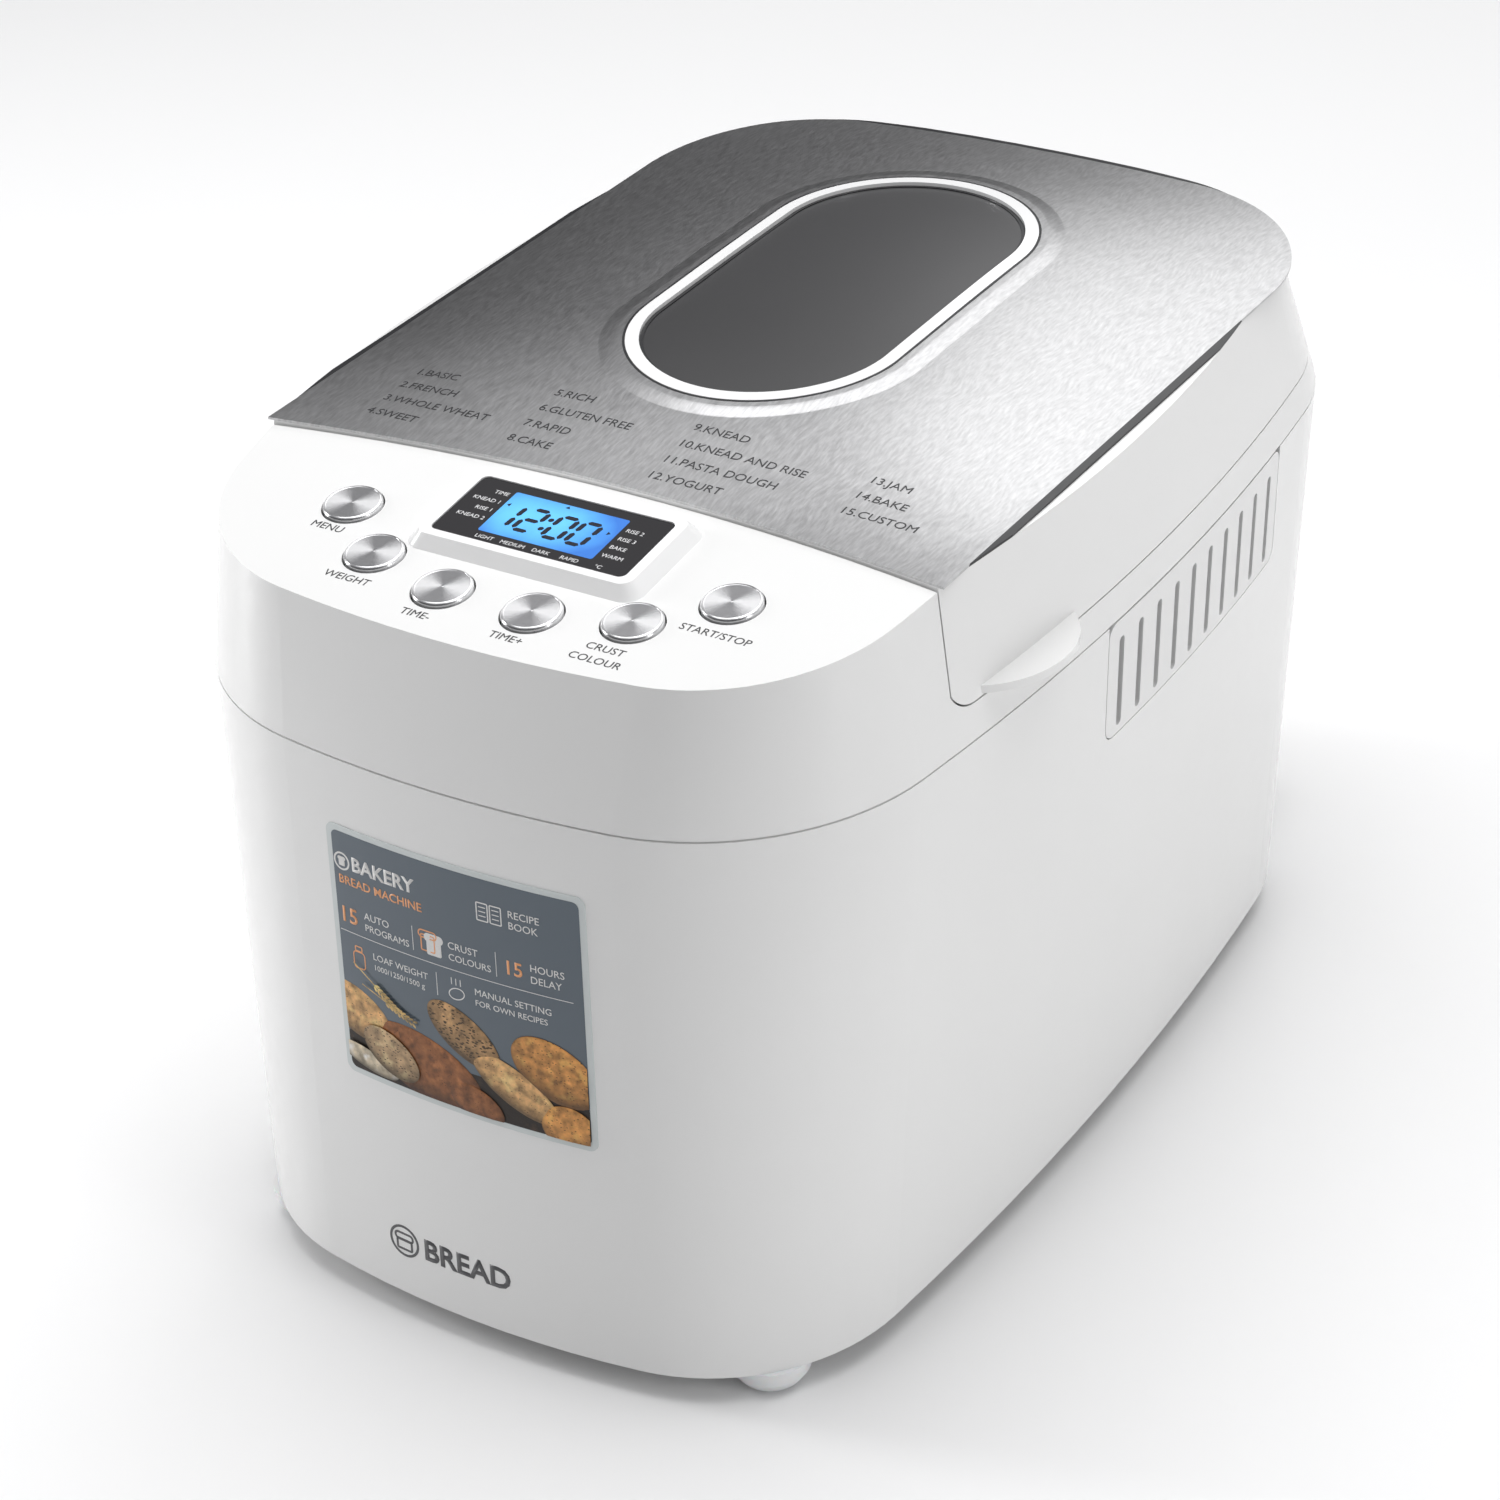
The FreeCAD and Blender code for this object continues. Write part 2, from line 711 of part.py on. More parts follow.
FOOT = [(0.0, 0.0), (7.0, 0.0), (10.5, 1.6), (12.6, 4.8), (13.2, 8.0), (13.2, 10.0), (0.0, 10.0)]
feet = []
for name, x, y in (
    ("foot_front_left", -88, -174),
    ("foot_front_right", 88, -174),
    ("foot_rear_left", -88, 144),
    ("foot_rear_right", 88, 144),
):
    feet.append(turned(name, FOOT, x, y))
node("feet", group("feet", *feet))

# ---------------------------------------------------------------- upper housing
rear_strip = block("rear_strip", -160.0, -100.0, SEAM - 20.0, 320.0, 340.0, DECK - SEAM + 21.0)
front_block = fuse("front_block", panel_block, rear_strip)
ring = cut("upper_ring", outer_up, inner_up)
panel_plate = common("panel_plate", outer_up, cut("panel_layer", panel_block, panel_core))
ring_low = common("ring_low", ring, front_block)
pocket = lid_zone("lid_pocket", 0.0, DECK)
pocket_outer = lid_zone("pocket_outer", -WALL, DECK - WALL)
pocket_wall = common("pocket_wall", cut("pocket_shell", pocket_outer, pocket), middle_up)
inner_wall = common("inner_wall", pocket_wall, panel_block)
deck_box = block("deck_box", -160.0, size("lid_front") + 10.0, DECK - 10.0, 320.0, 400.0, 10.0)
deck_part = common("deck_part", pocket_wall, deck_box)
upper_raw = cut("upper_raw", fuse("upper_sum", ring_low, panel_plate), pocket)
upper_whole = fuse("upper_whole", upper_raw, inner_wall, deck_part)

oven_x, oven_yy, oven_y = size("oven_half_x"), size("oven_half_y"), size("oven_y")
oven_mouth = plate(
    "oven_mouth", -oven_x - 0.4, oven_y - oven_yy - 0.4, oven_x + 0.4, oven_y + oven_yy + 0.4,
    22.0, SEAM, 30.0,
)
hx, hy, hz = size("hinge_x"), size("hinge_y"), size("hinge_level")
upper_tools = [oven_mouth]
bosses = []
lugs = []
pins = []
for side, sign in (("left", -1), ("right", 1)):
    middle = hx * sign
    upper_tools.append(block("lug_notch_" + side, middle - 7.6, hy - 5.0, SEAM - 1.0, 15.2, 20.0, 20.0))
    for i, offset in enumerate((-14.0, 8.0)):
        bosses.append(
            block("hinge_boss_%s%d" % (side, i), middle + offset, hy - 6.0, SEAM + 1.0, 6.0, 9.0, 9.0)
        )
    pins.append(rod("hinge_pin_" + side, 1.5, 27.0, middle - 13.5, hy, hz, "x"))
    arm = block("lug_arm_" + side, middle - 7.0, hy - 2.6, hz, 14.0, 5.0, DECK + 3.0 - hz)
    eye = rod("lug_eye_" + side, 2.9, 14.0, middle - 7.0, hy, hz, "x")
    hole = rod("lug_hole_" + side, 1.55, 20.0, middle - 10.0, hy, hz, "x")
    lugs.append((arm, eye, hole))
pin_holes = [
    rod("pin_hole_left", 1.52, 29.0, -hx - 14.5, hy, hz, "x"),
    rod("pin_hole_right", 1.52, 29.0, hx - 14.5, hy, hz, "x"),
]
upper_tools += pin_holes

# buttons: name, x, y
BOARD_DROP = 14.0
BUTTONS = [
    ("button_menu", -67.1, -137.5),
    ("button_weight", -45.5, -156.2),
    ("button_time_minus", -15.7, -163.3),
    ("button_time_plus", 15.7, -163.3),
    ("button_crust", 45.5, -156.2),
    ("button_start", 67.1, -137.5),
]
hole_r = size("button_hole")
cap_r = size("button_radius")
for name, x, y in BUTTONS:
    hole = drum(name + "_hole", hole_r, 20.0)
    hole.Placement = Placement(panel_point(x, y, -10.0), panel_turn)
    upper_tools.append(hole)
lens_hx, lens_dy, lens_y = size("lens_half"), size("lens_depth"), size("lens_y")
display_spot = Placement(panel_point(0.0, lens_y.value), panel_turn)
display_hole = plate(
    "display_hole", -lens_hx - 1.6, -lens_dy / 2 - 1.6, lens_hx + 1.6, lens_dy / 2 + 1.6, 3.0, -10.0, 20.0
)
display_hole.Placement = display_spot
upper_tools.append(display_hole)
hinge_blocks = common("hinge_blocks", fuse("hinge_rough", *bosses), outer_up)
board_posts = []
for i, (x, y) in enumerate(((-76, -166), (76, -166), (-76, -122), (76, -122))):
    board_post = drum("board_post_%d" % i, 3.5, BOARD_DROP - 2.0)
    board_post.Placement = Placement(panel_point(x, y, -BOARD_DROP), panel_turn)
    board_posts.append(board_post)
upper_sum = fuse("upper_bossed", upper_whole, hinge_blocks, *board_posts)
upper_housing = cut("upper_housing", upper_sum, *upper_tools)
node("upper_housing", upper_housing)
node("hinge_pins", group("hinge_pins", *pins))

# ---------------------------------------------------------------- display
bezel_body = new_body("display_bezel")
low = new_sketch(bezel_body, "bezel_low", offset=0.0)
rounded_rectangle(low, -lens_hx - 7.0, -lens_dy / 2 - 6.0, lens_hx + 7.0, lens_dy / 2 + 6.0, 6.0)
high = new_sketch(bezel_body, "bezel_high", offset=4.2)
rounded_rectangle(high, -lens_hx - 3.4, -lens_dy / 2 - 3.0, lens_hx + 3.4, lens_dy / 2 + 3.0, 4.0)
loft(bezel_body, [low, high])
bezel_body.Label = "bezel_solid"
bezel_skirt = plate(
    "bezel_skirt", -lens_hx - 1.4, -lens_dy / 2 - 1.4, lens_hx + 1.4, lens_dy / 2 + 1.4, 2.8, -5.0, 5.5
)
bezel_hole = plate(
    "bezel_hole", -lens_hx - 0.1, -lens_dy / 2 - 0.1, lens_hx + 0.1, lens_dy / 2 + 0.1, 2.4, -8.0, 20.0
)
bezel = cut("display_bezel_cut", fuse("bezel_sum", bezel_body, bezel_skirt), bezel_hole)
bezel.Placement = display_spot
node("display_bezel", bezel)
lens = plate("display_lens", -lens_hx, -lens_dy / 2, lens_hx, lens_dy / 2, 2.3, 2.2, 1.6)
lens.Placement = display_spot
node("display_lens", lens)
lcd = plate("lcd_module", -32.0, -13.0, 32.0, 13.0, 1.0, -3.8, 6.0)
lcd.Placement = display_spot
node("lcd_module", lcd)

# ---------------------------------------------------------------- buttons and control board
for name, x, y in BUTTONS:
    cap = turned(
        name,
        [
            (0.0, 3.0),
            (cap_r - 1.4, 3.0),
            (cap_r - 0.2, 2.3),
            (cap_r, 1.6),
            (cap_r, -WALL - 0.05),
            (cap_r + 1.6, -WALL - 0.05),
            (cap_r + 1.6, -WALL - 1.4),
            (3.0, -WALL - 1.4),
            (3.0, -8.6),
            (0.0, -8.6),
        ],
    )
    cap.Placement = Placement(panel_point(x, y), panel_turn)
    node(name, cap)

board_spot = Placement(panel_point(0.0, -148.0), panel_turn)
board = plate("control_board", -82.0, -24.0, 82.0, 31.0, 2.0, -BOARD_DROP - 1.6, 1.6)
board.Placement = board_spot
node("control_board", board)
switches = []
for name, x, y in BUTTONS:
    case = block(name + "_switch_case", -3.0, -3.0, -BOARD_DROP, 6.0, 6.0, 3.2)
    plunger = rod(name + "_switch_plunger", 1.7, 0.9, 0.0, 0.0, -BOARD_DROP + 3.2)
    switch = fuse(name + "_switch", case, plunger)
    switch.Placement = Placement(panel_point(x, y), panel_turn)
    switches.append(switch)
node("tact_switches", group("tact_switches", *switches))

# ---------------------------------------------------------------- lid
GAP = size("lid_gap")
lid_space = lid_zone("lid_space", GAP, DECK + GAP)
lid_core_space = lid_zone("lid_core_space", GAP + WALL, DECK - 6.0)
lid_solid = common("lid_solid", outer_up, lid_space, crown_skin)
lid_core = common("lid_core", inner_up, lid_core_space, crown_core)
win_x = size("window_half")
win_y0, win_y1 = size("window_front"), size("window_back")
RING = size("window_ring")


def stadium(name, grow, z0=200.0, depth=80.0, inner=None):
    """Upright slab in the window's long round shape, or a ring of it."""
    body = new_body(name)
    sketch = new_sketch(body, name + "_shape", offset=z0)
    grow = length(grow)
    rounded_rectangle(
        sketch, -win_x - grow, win_y0 - grow, win_x + grow, win_y1 + grow, win_x + grow - 0.05, "outer"
    )
    if inner is not None:
        inner = length(inner)
        rounded_rectangle(
            sketch, -win_x - inner, win_y0 - inner, win_x + inner, win_y1 + inner,
            win_x + inner - 0.05, "inner",
        )
    pad(body, sketch, depth)
    return body


tab_parts = []
for side, sign in (("left", -1), ("right", 1)):
    tab = new_body("tab_" + side)
    sketch = new_sketch(tab, "tab_shape_" + side, offset=DECK + GAP + 0.6)
    circle(sketch, 106.0 * sign, size("lid_front") + 42.0, 32.0)
    pad(tab, sketch, 2.6)
    tab_parts.append(tab)
tab_reach = cut("tab_reach", fuse("tab_discs", *tab_parts), inner_up)
boss_parts = []
for i, (x, y) in enumerate(((-70, -84), (70, -84), (-70, 124), (70, 124))):
    boss_parts.append(rod("lid_boss_%d" % i, 4.0, 60.0, x, y, DECK + 3.8))
lid_bosses = common("lid_bosses", fuse("boss_rods", *boss_parts), crown_skin)
lid_hollow = cut("lid_hollow", lid_solid, lid_core)
lug_solids = [part for arm, eye, hole in lugs for part in (arm, eye)]
lid_sum = fuse("lid_sum", lid_hollow, lid_bosses, tab_reach, *lug_solids)
lid_window = stadium("lid_window", RING - 1.4)
lid_tools = [hole for arm, eye, hole in lugs]
node("lid_frame", cut("lid_frame", lid_sum, lid_window, *lid_tools))

cover_x = size("cover_half")
cover_y0 = size("lid_front")
cover_y1 = size("cover_back")
STRIP = size("trim_width")


def cover_prism(name, grow):
    """Upright prism of the steel cover's outline: sharp front corners, round back ones."""
    back = plate(
        name + "_back", -cover_x - grow, cover_y0 + 20.0, cover_x + grow, cover_y1 + grow,
        size("cover_corner"), 200.0, 80.0,
    )
    front = block(
        name + "_front", -cover_x - grow, cover_y0, 200.0, (cover_x + grow) * 2, 90.0, 80.0
    )
    return fuse(name, front, back)


skin_layer = cut("skin_layer", crown_top, crown_skin)
cover_shape = cover_prism("cover_shape", length(0.0))
trim_shape = cover_prism("trim_shape", STRIP)
cover_hole = stadium("cover_hole", RING)
node("lid_cover", cut("lid_cover", common("cover_blank", skin_layer, cover_shape, lid_space), cover_hole))
trim_blank = common("trim_blank", skin_layer, trim_shape, lid_space, outer_up)
node("lid_trim", cut("lid_trim", trim_blank, cover_shape))

seat = stadium("bezel_seat", RING, inner=0.0)
bezel_low = crown_block("crown_bezel_low", size("sheet_gauge"))
bezel_lip = common("bezel_lip", cut("bezel_layer", crown_block("crown_proud", -0.7), bezel_low), seat)
throat = stadium("bezel_throat", RING - 1.6, inner=1.6)
throat_layer = cut("throat_layer", crown_skin, crown_block("crown_throat", 6.0))
bezel_throat = common("bezel_throat_part", throat_layer, throat)
node("window_bezel", fuse("window_bezel", bezel_lip, bezel_throat))
glass_shape = stadium("glass_shape", 1.4)
glass_layer = cut("glass_layer", crown_skin, crown_block("crown_glass", 4.0))
node("window_glass", common("window_glass", glass_layer, glass_shape))

lid_panel_y0 = size("lid_bow_y") + 4.0
inner_panel = plate("lid_panel_blank", -112.0, lid_panel_y0, 112.0, 152.0, 30.0, DECK + 3.0, 0.8)
inner_panel_hole = plate("lid_panel_hole", -52.0, -42.0, 52.0, 110.0, 20.0, DECK, 10.0)
node("lid_inner_panel", cut("lid_inner_panel", inner_panel, inner_panel_hole))
node("window_inner_glass", plate("window_inner_glass", -60.0, -50.0, 60.0, 118.0, 24.0, DECK + 3.8, 3.0))
node(
    "lid_seal",
    frame_plate(
        "lid_seal",
        (-109.0, oven_y - oven_yy - 4.5, 109.0, oven_y + oven_yy - 13.0, 26.0),
        (-104.5, oven_y - oven_yy - 0.5, 104.5, oven_y + oven_yy - 17.5, 22.0),
        DECK + 1.1,
        1.9,
    ),
)
lid_screws = []
for i, (x, y) in enumerate(((-70, -84), (70, -84), (-70, 124), (70, 124))):
    head = rod("lid_screw_head_%d" % i, 3.0, 1.4, x, y, DECK + 1.6)
    lid_screws.append(head)
node("lid_screws", group("lid_screws", *lid_screws))

# ---------------------------------------------------------------- oven chamber
gauge = size("oven_gauge")
floor_z = size("oven_floor")
oven_box = (-oven_x, oven_y - oven_yy, oven_x, oven_y + oven_yy, 26.0)
oven_in = (
    -oven_x + gauge, oven_y - oven_yy + gauge, oven_x - gauge, oven_y + oven_yy - gauge, 25.0,
)
oven_outer = plate("oven_outer", *oven_box, floor_z, DECK - floor_z + 0.4)
oven_inner = plate("oven_inner", *oven_in, floor_z + gauge, 220.0)
oven_lip = plate(
    "oven_lip", -oven_x - 6.0, oven_y - oven_yy - 4.8, oven_x + 6.0, oven_y + oven_yy + 6.0,
    24.0, DECK, 0.8,
)
oven_tools = [oven_inner]
half_space = size("paddle_spacing") / 2
paddle_ys = {"front": oven_y - half_space, "rear": oven_y + half_space}
for end, y in paddle_ys.items():
    oven_tools.append(drum("oven_shaft_hole_" + end, 11.0, 10.0, 0.0, y, floor_z - 4.0))
oven_tools.append(rod("sensor_hole", 2.8, 10.0, 60.0, oven_y - oven_yy - 4.0, 120.0, "y"))
for i, x in enumerate((-30.0, 30.0)):
    oven_tools.append(rod("heater_hole_%d" % i, 3.6, 10.0, x, oven_y + oven_yy - 6.0, 64.0, "y"))
node("oven_chamber", cut("oven_chamber", fuse("oven_sum", oven_outer, oven_lip), *oven_tools))

heater = new_body("heater_loop")
hx0, hy0 = 88.0, 114.0
path = heater.newObject("Sketcher::SketchObject", "heater_path")
plane = [item for item in heater.Origin.OriginFeatures if item.Role == "XY_Plane"][0]
path.AttachmentSupport = [(plane, "")]
path.MapMode = "FlatFace"
path.AttachmentOffset = Placement(Vector(0, 0, 64.0), Rotation())
bend = 24.0
yc = oven_y.value
legs = [
    ((30.0, yc + hy0), (hx0 - bend, yc + hy0)),
    ((hx0, yc + hy0 - bend), (hx0, yc - hy0 + bend)),
    ((hx0 - bend, yc - hy0), (-hx0 + bend, yc - hy0)),
    ((-hx0, yc - hy0 + bend), (-hx0, yc + hy0 - bend)),
    ((-hx0 + bend, yc + hy0), (-30.0, yc + hy0)),
]
turns = [
    (hx0 - bend, yc + hy0 - bend, 0.0),
    (hx0 - bend, yc - hy0 + bend, -90.0),
    (-hx0 + bend, yc - hy0 + bend, 180.0),
    (-hx0 + bend, yc + hy0 - bend, 90.0),
]
for i, (start, end) in enumerate(legs):
    line = Part.LineSegment(Vector(start[0], start[1], 0), Vector(end[0], end[1], 0))
    path.addGeometry(line, False)
    if i < 4:
        cx, cy, angle = turns[i]
        round_line = Part.Circle(Vector(cx, cy, 0), Vector(0, 0, 1), bend)
        path.addGeometry(
            Part.ArcOfCircle(round_line, math.radians(angle), math.radians(angle + 90.0)), False
        )
for i in range(8):
    a_end = 1 if i % 2 else 2
    b_end = 2 if i % 2 == 0 else 1
    path.addConstraint(Sketcher.Constraint("Coincident", i, a_end, i + 1, b_end))
path.addConstraint(Sketcher.Constraint("Block", 0))
section = new_sketch(heater, "heater_section", "YZ_Plane", 30.0)
circle(section, oven_y + 114.0, 64.0, 3.2)
pipe = heater.newObject("PartDesign::AdditivePipe", "heater_pipe")
pipe.Profile = section
pipe.Spine = path
heater.Tip = pipe
cold_ends = []
for i, x in enumerate((-30.0, 30.0)):
    cold_ends.append(rod("heater_end_%d" % i, 3.2, 22.0, x, oven_y + 112.0, 64.0, "y"))
    cold_ends.append(doc.addObject("Part::Sphere", "heater_elbow_%d" % i))
    cold_ends[-1].Radius = 3.2
    place(cold_ends[-1], x, oven_y + 114.0, 64.0)
node("heating_element", fuse("heating_element", heater, *cold_ends))

clips = []
floor_top = floor_z + gauge
for i, (x, y) in enumerate(((-88, -30), (88, -30), (-88, 100), (88, 100))):
    clips.append(block("heater_clip_%d" % i, x - 3.0, y, floor_top, 6.0, 8.0, length(60.8) - floor_top))
node("heater_clips", group("heater_clips", *clips))
node("temperature_sensor", fuse(
    "temperature_sensor",
    rod("sensor_rod", 2.5, 30.0, 60.0, oven_y - oven_yy - 14.0, 120.0, "y"),
    rod("sensor_head", 5.0, 4.0, 60.0, oven_y - oven_yy - 4.0, 120.0, "y"),
))
node("thermal_fuse", block("thermal_fuse", -24.0, oven_y - oven_yy - 4.0, 118.0, 14.0, 4.0, 8.0))

# ---------------------------------------------------------------- bread pan and its drive
pan_x, pan_yy = size("pan_half_x"), size("pan_half_y")
draft, skin = size("pan_draft"), size("pan_wall")
pan_low, pan_high = size("pan_floor"), size("pan_rim")


def pan_block(name, inset, z0, corner):
    body = new_body(name)
    low = new_sketch(body, name + "_low", offset=z0)
    reach_x, reach_y = pan_x - draft - inset, pan_yy - draft - inset
    rounded_rectangle(low, -reach_x, oven_y - reach_y, reach_x, oven_y + reach_y, corner)
    high = new_sketch(body, name + "_high", offset=pan_high)
    reach_x, reach_y = pan_x - inset, pan_yy - inset
    rounded_rectangle(high, -reach_x, oven_y - reach_y, reach_x, oven_y + reach_y, corner)
    loft(body, [low, high])
    return body


pan_outer = pan_block("pan_outer", length(0.0), pan_low, 18.0)
pan_inner = pan_block("pan_inner", skin, pan_low + skin, 16.6)
pan_lip = frame_plate(
    "pan_lip",
    (-pan_x - 3.0, oven_y - pan_yy - 3.0, pan_x + 3.0, oven_y + pan_yy + 3.0, 21.0),
    (-pan_x + 1.3, oven_y - pan_yy + 1.3, pan_x - 1.3, oven_y + pan_yy - 1.3, 16.7),
    pan_high - 2.4,
    2.4,
)
ears = []
for end, sign in (("front", -1), ("rear", 1)):
    y = oven_y + (pan_yy - 1.2) * sign - (0.0 if sign > 0 else 7.0)
    ears.append(rod("pan_ear_" + end, 2.4, 7.0, 0.0, y, pan_high - 10.0, "y"))
pan_tools = [drum("pan_hole_" + end, 7.0, 10.0, 0.0, y, pan_low - 4.0) for end, y in paddle_ys.items()]
pan_sum = fuse("pan_sum", cut("pan_shell", pan_outer, pan_inner), pan_lip, *ears)
node("bread_pan", cut("bread_pan", pan_sum, *pan_tools))

node(
    "pan_skirt",
    frame_plate(
        "pan_skirt",
        (-24.0, oven_y - 84.0, 24.0, oven_y + 84.0, 20.0),
        (-22.4, oven_y - 82.4, 22.4, oven_y + 82.4, 18.4),
        floor_z + 5.0,
        pan_low - floor_z - 5.0,
    ),
)
clip_parts = []
for i, sign in enumerate((-1, 1)):
    spring_x = -25.5 if sign < 0 else 24.3
    foot_x = -34.3 if sign < 0 else 24.3
    clip_parts.append(block("pan_clip_%d" % i, spring_x, oven_y - 15.0, floor_top, 1.2, 30.0, 13.0))
    clip_parts.append(block("pan_clip_foot_%d" % i, foot_x, oven_y - 15.0, floor_top, 10.0, 30.0, 1.2))
node("pan_clips", fuse("pan_clips", *clip_parts))

bushes = []
R = size("shaft_radius")
for end, y in paddle_ys.items():
    bushes.append(
        turned(
            "pan_bush_" + end,
            [
                (R + 0.05, 60.5), (7.0, 60.5), (7.0, 63.0), (10.0, 63.0), (10.0, pan_low),
                (6.9, pan_low), (6.9, 73.0), (R + 0.05, 73.0),
            ],
            0.0,
            y,
        )
    )
node("pan_bushes", group("pan_bushes", *bushes))

for end, y in paddle_ys.items():
    core = drum("pan_spindle_" + end, R, 38.0, 0.0, y, 56.0)
    wing = block("pan_wing_" + end, -2.5, y - 11.0, 56.0, 5.0, 22.0, 3.4)
    node("pan_shaft_" + end, fuse("pan_shaft_" + end, core, wing))
    hub = drum("blade_hub_" + end, 8.0, 24.0, 0.0, y, 74.0, bore=R + 0.1)
    root = block("blade_root_" + end, 6.0, y - 1.6, 74.4, 12.0, 3.2, 20.0)
    tip = plate("blade_tip_" + end, 6.0, y - 2.0, 46.0, y + 2.0, 1.9, 74.4, 15.0)
    node("kneading_blade_" + end, fuse("kneading_blade_" + end, hub, root, tip))

handle_z = pan_high - 10.0
bar_y = pan_yy + 4.4
arms = []
for end, sign in (("front", -1), ("rear", 1)):
    y = oven_y + bar_y * sign
    eye = turned("handle_eye_" + end, [(2.7, -1.2), (5.4, -1.2), (5.4, 1.2), (2.7, 1.2)])
    eye.Placement = Placement(Vector(0, y.value, handle_z.value), Rotation(Vector(1, 0, 0), 90))
    arm = block("handle_arm_" + end, 4.6, y - 1.2, handle_z - 1.6, 80.0, 2.4, 3.2)
    arms += [eye, arm]
grip = rod("handle_grip", 3.0, bar_y * 2, 84.0, oven_y - bar_y, handle_z, "y")
node("pan_handle", fuse("pan_handle", *arms, grip))

# ---------------------------------------------------------------- drive train
frame_z = size("frame_level")
frame_plate_body = plate("frame_slab", -90.0, -182.0, 90.0, 162.0, 20.0, frame_z, 4.0)
motor_x, motor_y = size("motor_x"), size("motor_y")
frame_tools = [drum("frame_motor_hole", 14.0, 10.0, motor_x, motor_y, frame_z - 3.0)]
sleeves = []
for end, y in paddle_ys.items():
    frame_tools.append(drum("frame_hole_" + end, 8.0, 20.0, 0.0, y, frame_z - 8.0))
    sleeves.append(drum("frame_sleeve_" + end, 12.0, floor_z - frame_z, 0.0, y, frame_z))
node("drive_frame", cut("drive_frame", fuse("frame_sum", frame_plate_body, *sleeves), *frame_tools))
bearings = []
for end, y in paddle_ys.items():
    bearings.append(drum("bearing_" + end, 8.0, 12.0, 0.0, y, frame_z - 2.0, bore=R + 0.05))
node("drive_bearings", group("drive_bearings", *bearings))

for end, y in paddle_ys.items():
    bottom = 19.0
    spindle = drum("drive_spindle_" + end, R, 34.0, 0.0, y, bottom)
    dog = drum("drive_dog_" + end, 10.0, 1.6, 0.0, y, 51.6)
    peg_a = rod("dog_peg_a_" + end, 2.2, 5.6, 6.4, y + 5.0, 52.4)
    peg_b = rod("dog_peg_b_" + end, 2.2, 5.6, -6.4, y - 5.0, 52.4)
    node("drive_shaft_" + end, fuse("drive_shaft_" + end, spindle, dog, peg_a, peg_b))

big = size("pulley_radius")
small = size("pinion_radius")
link = size("transfer_radius")
fy, ry = paddle_ys["front"], paddle_ys["rear"]


def pulley(name, radius, z0, width, x, y, bore):
    profile = [
        (bore, 0.0),
        (radius + 2.6, 0.0),
        (radius + 2.6, 1.0),
        (radius, 1.0),
        (radius, width - 1.0),
        (radius + 2.6, width - 1.0),
        (radius + 2.6, width),
        (bore, width),
    ]
    return turned(name, profile, x, y, z0)


node("main_pulley", pulley("main_pulley", big, 28.4, 9.0, 0.0, fy, R))
node("transfer_pulley_front", pulley("transfer_pulley_front", link, 19.2, 8.4, 0.0, fy, R))
node("transfer_pulley_rear", pulley("transfer_pulley_rear", link, 19.2, 8.4, 0.0, ry, R))
node("motor_pulley", pulley("motor_pulley", small, 28.4, 9.0, motor_x, motor_y, 3.0))


def belt(name, ax, ay, ra, bx, by, rb, z0, width):
    """Open belt around two pulleys: the taut outline less the inner one."""
    gap = size("belt_gap")
    thick = size("belt_thickness")
    pieces = []
    for layer, grow in (("out", gap + thick), ("in", gap)):
        r1, r2 = ra + grow, rb + grow
        dx, dy = bx.value - ax.value, by.value - ay.value
        span = math.hypot(dx, dy)
        lean = math.acos((r1.value - r2.value) / span)
        heading = math.atan2(dy, dx)
        corners = []
        for cx, cy, r, turn in (
            (ax, ay, r1, -lean), (bx, by, r2, -lean), (bx, by, r2, lean), (ax, ay, r1, lean),
        ):
            angle = heading + turn
            corners.append((cx.value + r.value * math.cos(angle), cy.value + r.value * math.sin(angle)))
        body = new_body("%s_%s_web" % (name, layer))
        sketch = new_sketch(body, "%s_%s_web_shape" % (name, layer), offset=z0)
        polygon(sketch, corners)
        pad(body, sketch, width)
        ends = [drum("%s_%s_a" % (name, layer), r1, width, ax, ay, z0)]
        ends.append(drum("%s_%s_b" % (name, layer), r2, width, bx, by, z0))
        pieces.append(fuse("%s_%s" % (name, layer), body, *ends))
    return cut(name, *pieces)


node("drive_belt", belt("drive_belt", motor_x, motor_y, small, length(0.0), fy, big, 29.9, 6.0))
node("transfer_belt", belt("transfer_belt", length(0.0), fy, link, length(0.0), ry, link, 20.7, 5.4))

motor_r = size("motor_radius")
can = drum("motor_can", motor_r, 66.0, motor_x, motor_y, frame_z + 4.0)
nose = drum("motor_nose", 9.0, 5.0, motor_x, motor_y, frame_z - 0.6)
bore = drum("motor_bore", 3.05, 30.0, motor_x, motor_y, frame_z - 2.0)
node("motor", cut("motor_body", fuse("motor_sum", can, nose), bore))
node("motor_shaft", drum("motor_shaft", 3.0, 36.0, motor_x, motor_y, 26.0))
node("motor_capacitor", block("motor_capacitor", -62.0, -170.0, frame_z + 4.0, 22.0, 38.0, 30.0))
power = plate("power_board", -73.0, -120.0, -9.0, -98.0, 1.0, frame_z + 4.0, 1.6)
parts = [
    power,
    block("relay", -69.0, -116.0, frame_z + 5.6, 19.0, 15.0, 15.0),
    block("transformer", -45.0, -118.0, frame_z + 5.6, 24.0, 18.0, 20.0),
    rod("smoothing_can", 4.0, 14.0, -15.0, -109.0, frame_z + 5.6),
]
node("power_board", group("power_board_unit", *parts))

